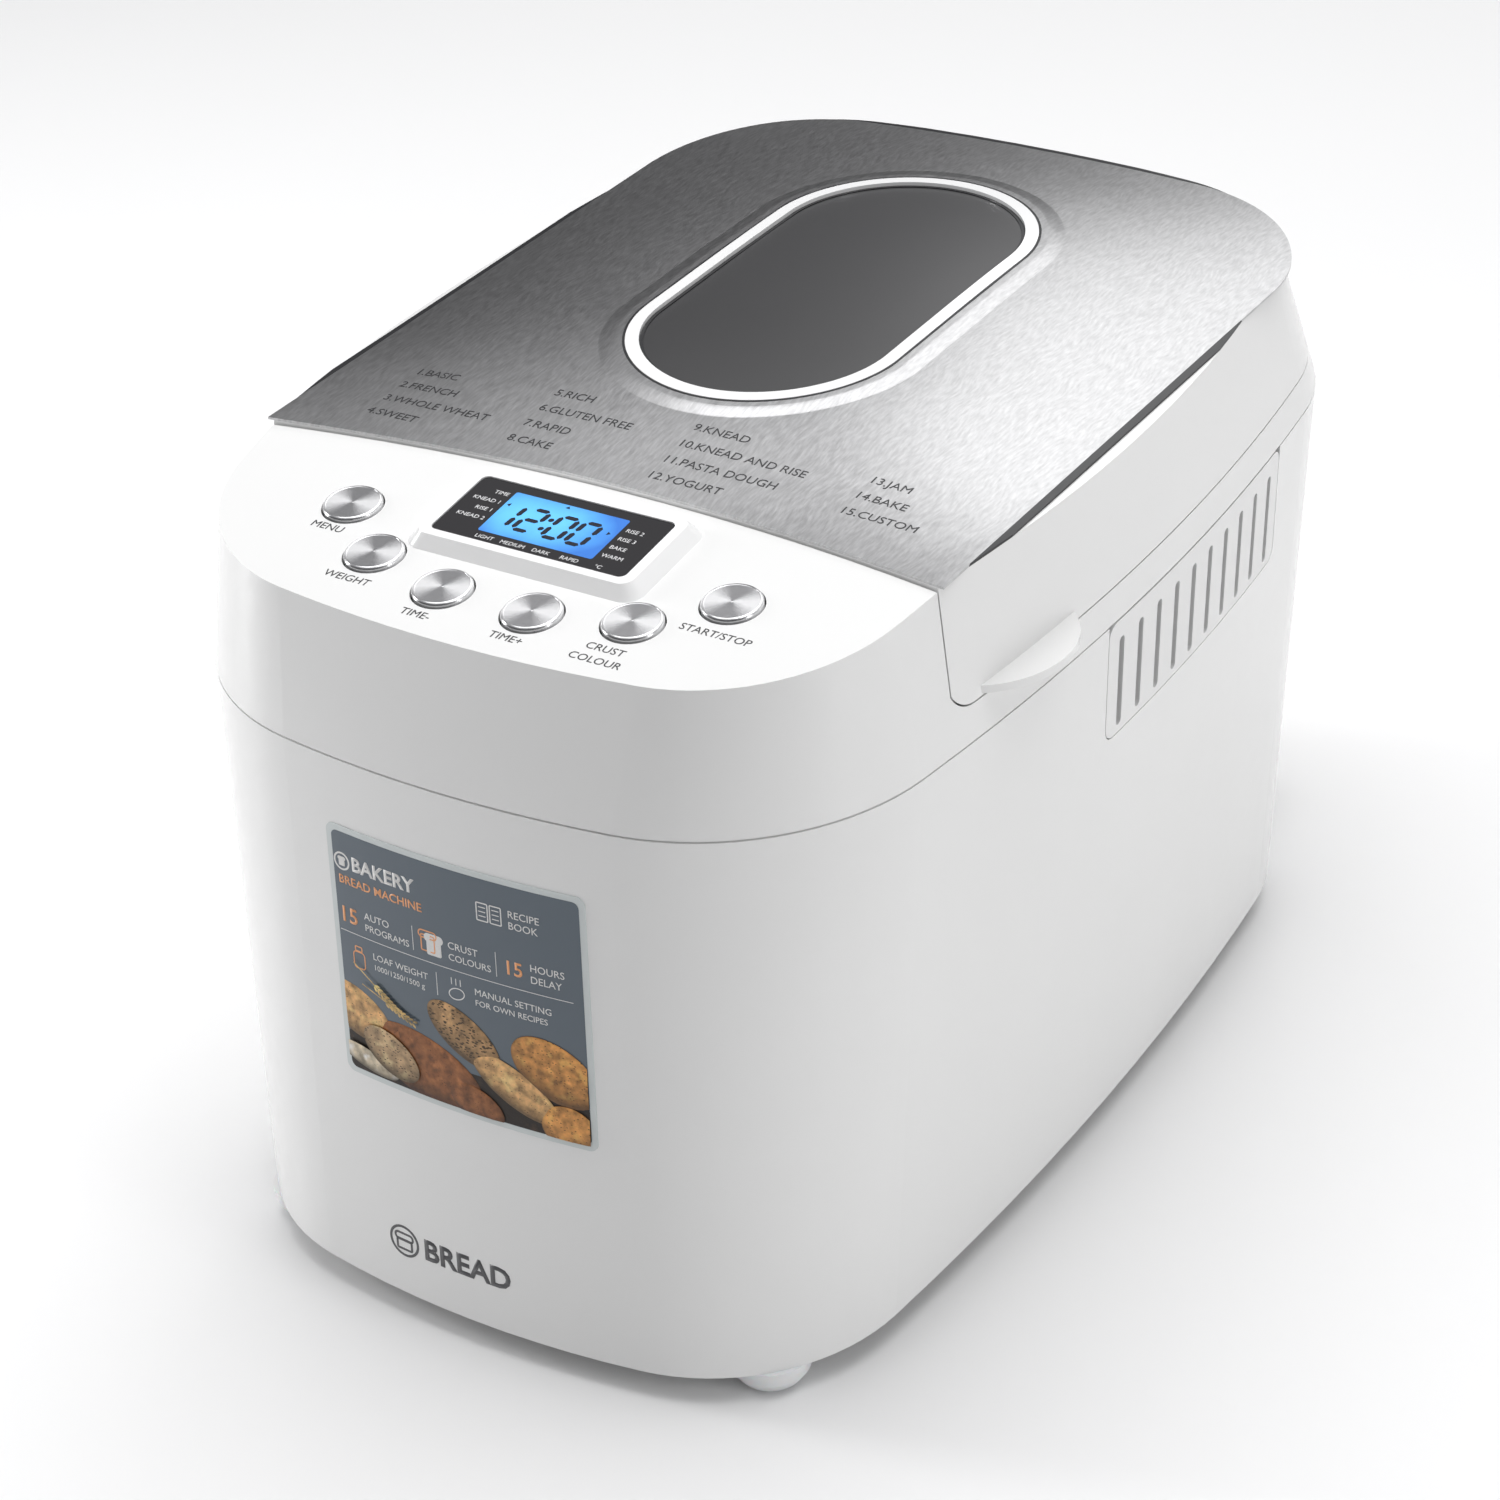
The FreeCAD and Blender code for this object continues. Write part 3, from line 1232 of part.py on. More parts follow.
frame_screws = []
for i, (x, y) in enumerate(post_spots):
    frame_screws.append(rod("frame_screw_%d" % i, 4.0, 2.0, x, y, frame_z + 4.0))
node("frame_screws", group("frame_screws", *frame_screws))
base_screws = []
for i, (x, y) in enumerate(((-104, -110), (104, -110), (-104, 90), (104, 90))):
    base_screws.append(rod("base_screw_%d" % i, 3.4, 1.8, x, y, BASE + 6.0))
node("base_screws", group("base_screws", *base_screws))

# ---------------------------------------------------------------- build and write
doc.recompute()
faults = []
for item in doc.Objects:
    if "Invalid" in item.State or "Error" in item.State:
        faults.append("%s: %s" % (item.Name, item.State))
for name, item in NODES.items():
    shape = item.Shape
    if shape.isNull() or not shape.isValid() or not shape.Solids:
        faults.append("%s: shape is not a valid solid" % name)
if faults:
    raise RuntimeError("; ".join(faults))
for name, item in NODES.items():
    item.Label = name
    item.Shape.exportStep("parts/%s.step" % name)
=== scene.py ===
"""Bread machine: the looks of a two-paddle household machine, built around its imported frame.

Lengths are metres, +Z up; the control panel faces -Y and the lid opens toward +Y. Places come from
the frame's nodes; the sizes and colours that a user would change are properties of the scene.
"""
import json
import math

import bmesh
import bpy
from mathutils import Matrix, Vector

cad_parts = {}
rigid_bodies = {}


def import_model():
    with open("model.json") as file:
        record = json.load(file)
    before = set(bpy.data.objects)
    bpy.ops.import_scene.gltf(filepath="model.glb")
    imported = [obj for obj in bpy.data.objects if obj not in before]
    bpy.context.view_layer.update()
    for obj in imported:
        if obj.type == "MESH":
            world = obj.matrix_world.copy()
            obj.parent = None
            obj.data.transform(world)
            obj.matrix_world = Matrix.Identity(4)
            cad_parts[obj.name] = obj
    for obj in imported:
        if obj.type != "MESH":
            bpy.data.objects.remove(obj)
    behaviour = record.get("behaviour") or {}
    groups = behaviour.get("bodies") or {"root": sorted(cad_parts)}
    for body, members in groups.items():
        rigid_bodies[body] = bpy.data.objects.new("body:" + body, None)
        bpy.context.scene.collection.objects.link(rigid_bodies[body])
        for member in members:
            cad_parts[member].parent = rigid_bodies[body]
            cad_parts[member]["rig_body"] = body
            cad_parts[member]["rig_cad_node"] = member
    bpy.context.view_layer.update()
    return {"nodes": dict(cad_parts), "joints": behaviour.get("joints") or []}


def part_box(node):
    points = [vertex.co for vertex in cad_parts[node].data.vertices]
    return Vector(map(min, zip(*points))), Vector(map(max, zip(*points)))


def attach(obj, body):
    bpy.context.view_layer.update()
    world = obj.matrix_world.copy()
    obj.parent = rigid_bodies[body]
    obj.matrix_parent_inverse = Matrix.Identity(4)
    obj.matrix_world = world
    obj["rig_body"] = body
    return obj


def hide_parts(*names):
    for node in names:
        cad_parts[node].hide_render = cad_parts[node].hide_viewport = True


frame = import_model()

bl_info = {
    "name": "Bread Machine",
    "version": (1, 0, 0),
    "blender": (4, 5, 0),
    "location": "View3D > Sidebar > Bread Machine",
    "description": "Finishes and detailed pieces for a household bread machine",
    "category": "Object",
}

MM = 0.001


# ------------------------------------------------------------------ sizes and colours
def colour(label, text, default):
    return bpy.props.FloatVectorProperty(
        name=label, description=text, subtype="COLOR", size=4, min=0.0, max=1.0, default=(*default, 1.0)
    )


def span(label, text, millimetres):
    return bpy.props.FloatProperty(name=label, description=text, unit="LENGTH", default=millimetres * MM)


class ShellLook(bpy.types.PropertyGroup):
    """Plastic housing and lid."""

    plastic: colour("Plastic", "White housing and lid plastic", (0.81, 0.81, 0.805))
    steel_dark: colour("Steel, dark", "Darkest streaks of the brushed lid", (0.40, 0.40, 0.405))
    steel_light: colour("Steel, light", "Lightest streaks of the brushed lid", (0.62, 0.62, 0.625))
    glass: colour("Window glass", "Smoked glass of the lid window", (0.050, 0.050, 0.052))
    foot: colour("Feet", "Milky plastic of the feet", (0.80, 0.81, 0.82))


class PrintLook(bpy.types.PropertyGroup):
    """Printing on the panel, the lid and the front label."""

    ink: colour("Ink", "Black printing", (0.030, 0.030, 0.032))
    mark: colour("Front mark", "Grey of the mark at the foot of the front", (0.085, 0.085, 0.09))
    slate: colour("Label", "Slate ground of the front label", (0.072, 0.100, 0.130))
    border: colour("Label border", "Pale border of the front label", (0.62, 0.66, 0.66))
    accent: colour("Label accent", "Warm numerals on the label", (0.80, 0.36, 0.16))
    pale: colour("Label words", "Pale words on the label", (0.74, 0.73, 0.72))
    relief: span("Print height", "How far printing stands off its surface", 0.06)
    list_size: span("Program list", "Letter size of the program list", 4.9)
    legend_size: span("Key legends", "Letter size under the keys", 4.2)


class DisplayLook(bpy.types.PropertyGroup):
    """Backlit display and keys."""

    glow_near: colour("Backlight, middle", "Brightest part of the backlight", (0.12, 0.50, 0.95))
    glow_far: colour("Backlight, rim", "Backlight toward its corners", (0.03, 0.16, 0.55))
    digit: span("Digit height", "Height of the clock digits", 11.0)
    key_rings: bpy.props.IntProperty(
        name="Key rings", description="Turned rings on each key", default=22, min=4, max=40
    )
    ring_depth: span("Ring depth", "Depth of the turned rings", 0.06)


# ------------------------------------------------------------------ finishes
class Signal:
    """A shader socket that takes part in sums as a number does."""

    def __init__(self, finish, socket):
        self.finish = finish
        self.socket = socket

    def sum(self, operation, first, second):
        return self.finish.node("ShaderNodeMath", {"operation": operation}, {0: first, 1: second})

    def __add__(self, other):
        return self.sum("ADD", self, other)

    __radd__ = __add__

    def __mul__(self, other):
        return self.sum("MULTIPLY", self, other)

    __rmul__ = __mul__

    def __sub__(self, other):
        return self.sum("SUBTRACT", self, other)

    def __rsub__(self, other):
        return self.sum("SUBTRACT", other, self)

    def __truediv__(self, other):
        return self.sum("DIVIDE", self, other)

    def __pow__(self, other):
        return self.sum("POWER", self, other)

    def __lt__(self, other):
        return self.sum("LESS_THAN", self, other)


class Finish:
    """A procedural material: one Principled shader and the nodes that feed it."""

    def __init__(self, name, **values):
        self.material = bpy.data.materials.new(name)
        self.material.use_nodes = True
        self.tree = self.material.node_tree
        self.shader = self.tree.nodes["Principled BSDF"]
        for word, value in values.items():
            self.shader.inputs[word.replace("_", " ").title().replace("Ior", "IOR")].default_value = value

    def node(self, kind, settings=None, inputs=None, output=0):
        made = self.tree.nodes.new(kind)
        for name, value in (settings or {}).items():
            setattr(made, name, value)
        for name, value in (inputs or {}).items():
            if isinstance(value, Signal):
                self.tree.links.new(value.socket, made.inputs[name])
            else:
                made.inputs[name].default_value = value
        return Signal(self, made.outputs[output])

    def place(self, scale=(1.0, 1.0, 1.0), move=(0.0, 0.0, 0.0), turn=(0.0, 0.0, 0.0)):
        """Object coordinates, moved, turned and stretched."""
        where = self.node("ShaderNodeTexCoord", output="Object")
        sockets = {"Vector": where, "Location": move, "Rotation": turn, "Scale": scale}
        return self.node("ShaderNodeMapping", None, sockets)

    def axes(self, move=(0.0, 0.0, 0.0)):
        """Object coordinates as three numbers."""
        where = self.place(move=move)
        return [self.node("ShaderNodeSeparateXYZ", None, {"Vector": where}, axis) for axis in "XYZ"]

    def noise(self, scale, detail=2.0, stretch=(1.0, 1.0, 1.0), move=(0.0, 0.0, 0.0), turn=(0.0, 0.0, 0.0)):
        sockets = {"Vector": self.place(stretch, move, turn), "Scale": scale, "Detail": detail}
        return self.node("ShaderNodeTexNoise", None, sockets)

    def between(self, mask, low, high):
        """Low where the mask is 0, high where it is 1."""
        factor, first, second, result = 0, 6, 7, 2    # the node's sockets for colours
        sockets = {factor: mask, first: low, second: high}
        return self.node("ShaderNodeMix", {"data_type": "RGBA"}, sockets, result)

    def feed(self, socket, signal):
        self.tree.links.new(signal.socket, self.shader.inputs[socket])
        return self

    def bump(self, height, distance, strength=1.0):
        sockets = {"Height": height, "Distance": distance, "Strength": strength}
        return self.feed("Normal", self.node("ShaderNodeBump", None, sockets))


def shade(tint, factor=1.0):
    """A colour made lighter or darker."""
    return tuple(min(1.0, part * factor) for part in tuple(tint)[:3]) + (1.0,)


def plastic(name, tint, roughness=0.22, grain=0.3, coat=0.0, **more):
    """Moulded plastic: faint flow marks in its colour and a fine orange peel."""
    finish = Finish(name, Coat_Weight=coat, Coat_Roughness=0.06, **more)
    flow = finish.noise(9.0, 3.0)
    finish.feed("Base Color", finish.between(flow, shade(tint, 0.975), shade(tint, 1.02)))
    finish.feed("Roughness", finish.noise(160.0, 2.0) * 0.06 + (roughness - 0.03))
    finish.bump(finish.noise(1300.0, 1.0), 0.02 * MM, grain)
    return finish.material


def rolled(name, dark, light, stretch, roughness=0.34):
    """Metal with a drawn grain: streaks in its colour, roughness and surface."""
    finish = Finish(name, Metallic=1.0)
    streak = finish.noise(1.0, 3.0, stretch)
    cloud = finish.noise(14.0, 2.0)
    mask = streak * 1.6 - 0.3 + (cloud - 0.5) * 0.25
    finish.feed("Base Color", finish.between(mask, shade(dark), shade(light)))
    finish.feed("Roughness", streak * 0.16 + (roughness - 0.08))
    finish.bump(streak, 0.02 * MM, 0.6)
    return finish.material


def cast(name, tint, metallic=1.0, roughness=0.42, scale=900.0, depth=0.05, speck=0.0):
    """Cast, coated or painted surface with a fine even grain."""
    finish = Finish(name, Metallic=metallic)
    grain = finish.noise(scale, 3.0)
    colour_mix = finish.between(grain, shade(tint, 0.86), shade(tint, 1.12))
    if speck:
        spots = finish.node("ShaderNodeTexVoronoi", None, {"Vector": finish.place(), "Scale": 420.0})
        colour_mix = finish.between(spots < speck, colour_mix, (0.32, 0.32, 0.33, 1.0))
    finish.feed("Base Color", colour_mix)
    finish.feed("Roughness", finish.noise(220.0, 2.0) * 0.14 + (roughness - 0.07))
    finish.bump(grain, depth * MM, 0.5)
    return finish.material


def printed(name, tint, roughness=0.45):
    """Ink: a thin even layer with a slight mottle."""
    finish = Finish(name)
    mottle = finish.noise(2600.0, 2.0)
    finish.feed("Base Color", finish.between(mottle, shade(tint, 0.9), shade(tint, 1.1)))
    finish.feed("Roughness", mottle * 0.1 + (roughness - 0.05))
    return finish.material


def dress(finish, *nodes):
    """Gives CAD nodes their finish."""
    for node in nodes:
        data = frame["nodes"][node].data
        data.materials.clear()
        data.materials.append(finish)


# ------------------------------------------------------------------ modelling helpers
def clear_selection():
    if bpy.context.object and bpy.context.object.mode != "OBJECT":
        bpy.ops.object.mode_set(mode="OBJECT")
    bpy.ops.object.select_all(action="DESELECT")


def use_only(*pieces):
    clear_selection()
    for piece in pieces:
        piece.select_set(True)
    bpy.context.view_layer.objects.active = pieces[0]
    return pieces[0]


def settle(piece):
    """Puts a piece's place, turn and size into its mesh."""
    use_only(piece)
    bpy.ops.object.transform_apply(location=True, rotation=True, scale=True)
    return piece


def modify(piece, kind, **settings):
    use_only(piece)
    modifier = piece.modifiers.new(kind.title(), kind)
    for name, value in settings.items():
        setattr(modifier, name, value)
    bpy.ops.object.modifier_apply(modifier=modifier.name)
    return piece


def pick(piece, test, mode="VERT"):
    """Selects the vertices or faces whose middle passes the test, and stays in edit mode."""
    use_only(piece)
    bpy.ops.object.mode_set(mode="EDIT")
    bpy.ops.mesh.select_mode(type=mode)
    bpy.ops.mesh.select_all(action="DESELECT")
    shape = bmesh.from_edit_mesh(piece.data)
    for part in shape.verts if mode == "VERT" else shape.faces:
        centre = part.co if mode == "VERT" else part.calc_center_median()
        part.select_set(bool(test(centre)))
    shape.select_flush_mode()
    bmesh.update_edit_mesh(piece.data)


def edit_all(piece):
    """Selects all of a piece, as faces, and stays in edit mode."""
    use_only(piece)
    bpy.ops.object.mode_set(mode="EDIT")
    bpy.ops.mesh.select_mode(type="FACE")
    bpy.ops.mesh.select_all(action="SELECT")


def done():
    bpy.ops.object.mode_set(mode="OBJECT")


def gather(name, pieces):
    """Joins pieces into one."""
    use_only(*pieces)
    if len(pieces) > 1:
        bpy.ops.object.join()
    piece = bpy.context.object
    piece.name = name
    piece.data.name = name
    return piece


def finish_piece(piece, name, body, slot, material, *nodes):
    """Names a piece, gives it its finish and fastens it to its body."""
    settle(piece)
    piece.name = name
    piece.data.name = name
    piece.data.materials.clear()
    piece.data.materials.append(material)
    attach(piece, body)
    if nodes:
        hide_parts(*nodes)
    return piece


def slice_up(piece, axis, step):
    """Cuts a flat piece across at regular steps, so that it can follow a curved wall."""
    use_only(piece)
    values = [vertex.co[axis] for vertex in piece.data.vertices]
    normal = [0.0, 0.0, 0.0]
    normal[axis] = 1.0
    place = min(values) + step
    while place < max(values) - step * 0.2:
        edit_all(piece)
        point = [0.0, 0.0, 0.0]
        point[axis] = place
        bpy.ops.mesh.bisect(plane_co=point, plane_no=normal)
        done()
        place += step
    return piece


def project(piece, node, axis, lift):
    """Moves a flat piece along +Y or down -Z until it stands off a CAD surface by the lift."""
    settings = {"use_project_" + axis: True}
    return modify(
        piece, "SHRINKWRAP", target=frame["nodes"][node], wrap_method="PROJECT",
        wrap_mode="ABOVE_SURFACE", offset=lift, use_positive_direction=axis == "y",
        use_negative_direction=axis == "z", **settings,
    )


def wrap(piece, node, axis, lift, thickness):
    """Lays a flat piece on a CAD surface along Y or Z, and gives it its thickness."""
    project(settle(piece), node, axis, lift)
    return modify(piece, "SOLIDIFY", thickness=thickness, offset=1.0)


def seat(piece, matrix):
    piece.matrix_world = matrix @ piece.matrix_world
    return settle(piece)


def words(text, size, x, y, align="CENTER", bold=0.0):
    """A line of letters lying on the XY plane."""
    clear_selection()
    bpy.ops.object.text_add(location=(x, y, 0.0))
    piece = bpy.context.object
    piece.data.body = text
    piece.data.size = size
    piece.data.align_x = align
    piece.data.align_y = "CENTER"
    piece.data.offset = size * bold
    piece.data.resolution_u = 3
    bpy.ops.object.convert(target="MESH")
    return settle(bpy.context.object)


def tile(width, height, x=0.0, y=0.0, corner=0.0, segments=5):
    """A flat rectangle with round corners, on the XY plane."""
    clear_selection()
    bpy.ops.mesh.primitive_plane_add(size=1.0, location=(x, y, 0.0))
    piece = bpy.context.object
    piece.scale = (width, height, 1.0)
    settle(piece)
    if corner:
        edit_all(piece)
        bpy.ops.mesh.bevel(offset=corner, offset_type="OFFSET", segments=segments, affect="VERTICES")
        done()
    return piece


def disc(radius, x=0.0, y=0.0, sides=32, stretch=1.0, turn=0.0):
    """A flat round or oval face on the XY plane."""
    clear_selection()
    bpy.ops.mesh.primitive_circle_add(vertices=sides, radius=radius, fill_type="NGON", location=(x, y, 0.0))
    piece = bpy.context.object
    piece.scale = (1.0, stretch, 1.0)
    piece.rotation_euler = (0.0, 0.0, turn)
    return settle(piece)


def step_in(width, rise):
    """Insets the selected face and moves it along Z."""
    bpy.ops.mesh.inset(thickness=width)
    bpy.ops.transform.translate(value=(0.0, 0.0, rise))


def hollow(piece, width):
    """Leaves only a rim of a flat face."""
    edit_all(piece)
    bpy.ops.mesh.inset(thickness=width)
    bpy.ops.mesh.delete(type="FACE")
    done()
    return piece


def long_round(reach, straight, centre_y, level, sides=96):
    """The flat face inside the window's outline: two half circles and the straight sides between."""
    piece = disc(reach, 0.0, centre_y, sides)
    for side in (1.0, -1.0):
        pick(piece, lambda co: (co.y - centre_y) * side > 1e-5)
        bpy.ops.transform.translate(value=(0.0, straight * side, 0.0))
        done()
    piece.location.z = level
    return settle(piece)


def window_outline(node):
    """Half width, half length of the straight sides and middle of a long round node, and its top."""
    low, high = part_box(node)
    reach = (high.x - low.x) / 2
    return reach, (high.y - low.y) / 2 - reach, (low.y + high.y) / 2, high.z


UPRIGHT = Matrix.Rotation(math.radians(90.0), 4, "X")


# ------------------------------------------------------------------ places from the frame
def middle(node):
    low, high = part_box(node)
    return (low + high) / 2


def press_axis():
    """Which way the keys travel: square into the control panel."""
    for joint in frame["joints"]:
        if joint["name"] == "press_menu":
            return Vector(joint["axis"]).normalized()
    raise RuntimeError("the frame has no key joint")


PANEL_OUT = -press_axis()
PANEL_TILT = math.asin(-PANEL_OUT.y)
LENS_MIDDLE = middle("display_lens")
LENS_RISE = 3.0 * MM
LENS_HALF_THICKNESS = 0.8 * MM
PANEL_MIDDLE = LENS_MIDDLE - PANEL_OUT * LENS_RISE
UPHILL = Vector((0.0, math.cos(PANEL_TILT), math.sin(PANEL_TILT)))
ABOVE = 0.4      # flat printing waits this far over the machine
AHEAD = -0.4     # and upright printing this far in front of it
OVER_LID = 20.0 * MM       # rings for the window start this far over it
RING_WIDTH = 8.6 * MM      # of the step pressed into the cover
LIFT = 0.01 * MM           # keeps printing clear of its surface
KEYS = ["menu", "weight", "time_minus", "time_plus", "crust", "start"]


def panel_spot(x, y_along, rise):
    """Placement on the sloping panel, measured from the display's middle."""
    point = PANEL_MIDDLE + Vector((x, 0.0, 0.0)) + UPHILL * y_along + PANEL_OUT * rise
    return Matrix.Translation(point) @ Matrix.Rotation(PANEL_TILT, 4, "X")


def key_place(node):
    """Where a key sits: across, and up the slope from the display's middle."""
    centre = middle(node)
    return centre.x, (centre - PANEL_MIDDLE).dot(UPHILL)


# ------------------------------------------------------------------ operators
class BREAD_OT_housing(bpy.types.Operator):
    """Finishes the housing, vents, feet, lid plastic and cord gland"""

    bl_idname = "bread.housing"
    bl_label = "Housing"

    def execute(self, context):
        look = context.scene.bread_shell
        white = plastic("white_shell", look.plastic, 0.20, 0.22, coat=0.35)
        dress(white, "lower_housing", "upper_housing", "lid_frame")
        dress(plastic("vent_white", look.plastic, 0.30, 0.5), "vent_panel_left", "vent_panel_right")
        milky = plastic("foot_milky", look.foot, 0.30, 0.3, Subsurface_Weight=0.25, Subsurface_Scale=0.004)
        dress(milky, "feet")
        dress(plastic("base_grey", (0.27, 0.28, 0.29), 0.5, 1.0), "base_plate")
        dress(plastic("gland_black", (0.03, 0.03, 0.033), 0.45, 1.0), "cord_gland")
        return {"FINISHED"}


class BREAD_OT_cover(bpy.types.Operator):
    """Models the lid's brushed steel sheet with the step pressed round its window"""

    bl_idname = "bread.cover"
    bl_label = "Steel cover"

    def execute(self, context):
        look = context.scene.bread_shell
        steel = self.steel(look)
        dress(plastic("trim_black", (0.02, 0.02, 0.022), 0.35, 0.6), "lid_trim")
        reach, straight, centre, top = window_outline("window_bezel")
        outer = reach + RING_WIDTH
        sheet = self.opened_sheet(outer, straight, centre, top)
        ring = self.pressed_ring(outer, straight, centre, top)
        piece = gather("cover_sheet", [sheet, ring])
        bpy.ops.object.shade_smooth_by_angle(angle=math.radians(35.0))
        finish_piece(piece, "cover_sheet", "lid", "brushed", steel, "lid_cover")
        return {"FINISHED"}

    def steel(self, look):
        """Short wavy streaks that run with the depth of the lid."""
        finish = Finish("brushed_cover", Metallic=1.0)
        bend = finish.noise(45.0, 1.0)
        where = finish.place((1150.0, 230.0, 1.0))
        pushed = finish.node("ShaderNodeVectorMath", {"operation": "MULTIPLY_ADD"}, {
            0: bend, 1: (6.0, 0.0, 0.0), 2: where,
        })
        streak = finish.node("ShaderNodeTexNoise", None, {"Vector": pushed, "Scale": 1.0, "Detail": 2.0})
        fine = finish.noise(1.0, 2.0, (2600.0, 520.0, 1.0))
        mask = streak * 1.4 + fine * 0.4 - 0.4
        finish.feed("Base Color", finish.between(mask, tuple(look.steel_dark), tuple(look.steel_light)))
        finish.feed("Roughness", streak * 0.08 + 0.27)
        finish.bump(streak + fine * 0.4, 0.03 * MM, 0.35)
        return finish.material

    def opened_sheet(self, outer, straight, centre, top):
        """The sheet with an opening for the pressed ring."""
        clear_selection()
        sheet = frame["nodes"]["lid_cover"].copy()
        sheet.data = sheet.data.copy()
        sheet.parent = None
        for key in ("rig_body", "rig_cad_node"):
            if key in sheet:
                del sheet[key]
        bpy.context.scene.collection.objects.link(sheet)
        use_only(sheet)
        bpy.ops.mesh.customdata_custom_splitnormals_clear()
        edit_all(sheet)
        bpy.ops.mesh.remove_doubles(threshold=0.002 * MM)
        done()
        cutter = long_round(outer, straight, centre, top - OVER_LID)
        modify(cutter, "SOLIDIFY", thickness=OVER_LID * 2, offset=1.0)
        modify(sheet, "BOOLEAN", operation="DIFFERENCE", solver="EXACT", object=cutter)
        bpy.data.objects.remove(cutter)
        return sheet

    def pressed_ring(self, outer, straight, centre, top):
        """A step up toward the window: a sloping band, then a flat one at the bezel."""
        ring = long_round(outer, straight, centre, top + OVER_LID)
        widths = [0.3, 0.4, 0.9, 1.2, 1.2, 0.9, 0.4, 0.3, 2.7]
        rises = [0.0, 0.02, 0.07, 0.18, 0.33, 0.48, 0.57, 0.60, 0.60, 0.60]
        edit_all(ring)
        for width in widths:
            bpy.ops.mesh.inset(thickness=width * MM)
        bpy.ops.mesh.delete(type="FACE")
        done()
        modify(
            ring, "SHRINKWRAP", target=frame["nodes"]["lid_cover"], wrap_method="PROJECT",
            wrap_mode="ABOVE_SURFACE", offset=0.0, use_project_z=True, use_negative_direction=True,
        )

        def inward(co):
            """Distance in from the ring's outer edge."""
            return outer - math.hypot(co.x, max(0.0, abs(co.y - centre) - straight))

        near = 0.07 * MM
        edges = [sum(widths[:i]) * MM for i in range(len(rises))]
        for edge, rise in zip(edges, rises):
            if rise:
                pick(ring, lambda co: abs(inward(co) - edge) < near)
                bpy.ops.transform.translate(value=(0.0, 0.0, rise * MM))
                done()
        return modify(ring, "SOLIDIFY", thickness=0.3 * MM, offset=-1.0)


class BREAD_OT_window(bpy.types.Operator):
    """Glazes the lid window and adds its black gaskets"""

    bl_idname = "bread.window"
    bl_label = "Window"

    def execute(self, context):
        look = context.scene.bread_shell
        glass = Finish("smoked_glass", Roughness=0.35, Coat_Weight=0.35, Coat_Roughness=0.32, IOR=1.5)
        # Painted reflection: the glass's colour grows paler toward the back of the lid, over a faint random
        # haze.
        depth = glass.axes(move=(0.0, -0.03, 0.0))[1]
        haze = glass.noise(18.0, 2.0) * 0.2 + depth * 3.0 + 0.35
        glass.feed("Base Color", glass.between(haze, shade(look.glass, 0.5), shade(look.glass, 1.0)))
        dress(glass.material, "window_glass")
        dress(plastic("bezel_white", (0.88, 0.88, 0.88), 0.14, 0.15, coat=0.6), "window_bezel")
        rubber = plastic("gasket_black", (0.018, 0.018, 0.02), 0.4, 0.8)
        inner = self.band("window_glass", 1.5 * MM, 1.2 * MM, "window_glass")
        finish_piece(inner, "window_gasket", "lid", "black_plastic", rubber)
        outer = self.band("window_bezel", -0.85 * MM, 0.7 * MM, "lid_cover", 0.45 * MM)
        finish_piece(outer, "bezel_gasket", "lid", "black_plastic", rubber)
        return {"FINISHED"}

    def band(self, node, inset, width, surface, lift=0.05 * MM):
        """A thin ring along the long round outline of a node."""
        reach, straight, centre, top = window_outline(node)
        ring = hollow(long_round(reach - inset, straight, centre, top + OVER_LID), width)
        return wrap(ring, surface, "z", lift, 0.25 * MM)


class BREAD_OT_programs(bpy.types.Operator):
    """Prints the numbered program list near the front edge of the lid"""

    bl_idname = "bread.programs"
    bl_label = "Program list"

    def execute(self, context):
        look = context.scene.bread_print
        columns = [
            (-94.0, -67.0, ["BASIC", "FRENCH", "WHOLE WHEAT", "SWEET"]),
            (-42.3, -64.8, ["RICH", "GLUTEN FREE", "RAPID", "CAKE"]),
            (9.5, -66.4, ["KNEAD", "KNEAD AND RISE", "PASTA DOUGH", "YOGURT"]),
            (72.2, -68.6, ["JAM", "BAKE", "CUSTOM"]),
        ]
        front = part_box("lid_cover")[0].y
        line = 8.7
        number = 1
        lines = []
        for x, y, names in columns:
            for row, name in enumerate(names):
                place = front + (110.0 + y - line * row) * MM
                text = "%d.%s" % (number, name)
                lines.append(words(text, look.list_size, x * MM, place, "LEFT"))
                number += 1
        piece = gather("program_list", lines)
        piece.location.z = ABOVE
        wrap(piece, "lid_cover", "z", LIFT, look.relief)
        finish_piece(piece, "program_list", "lid", "black_plastic", printed("list_ink", look.ink, 0.4))
        return {"FINISHED"}


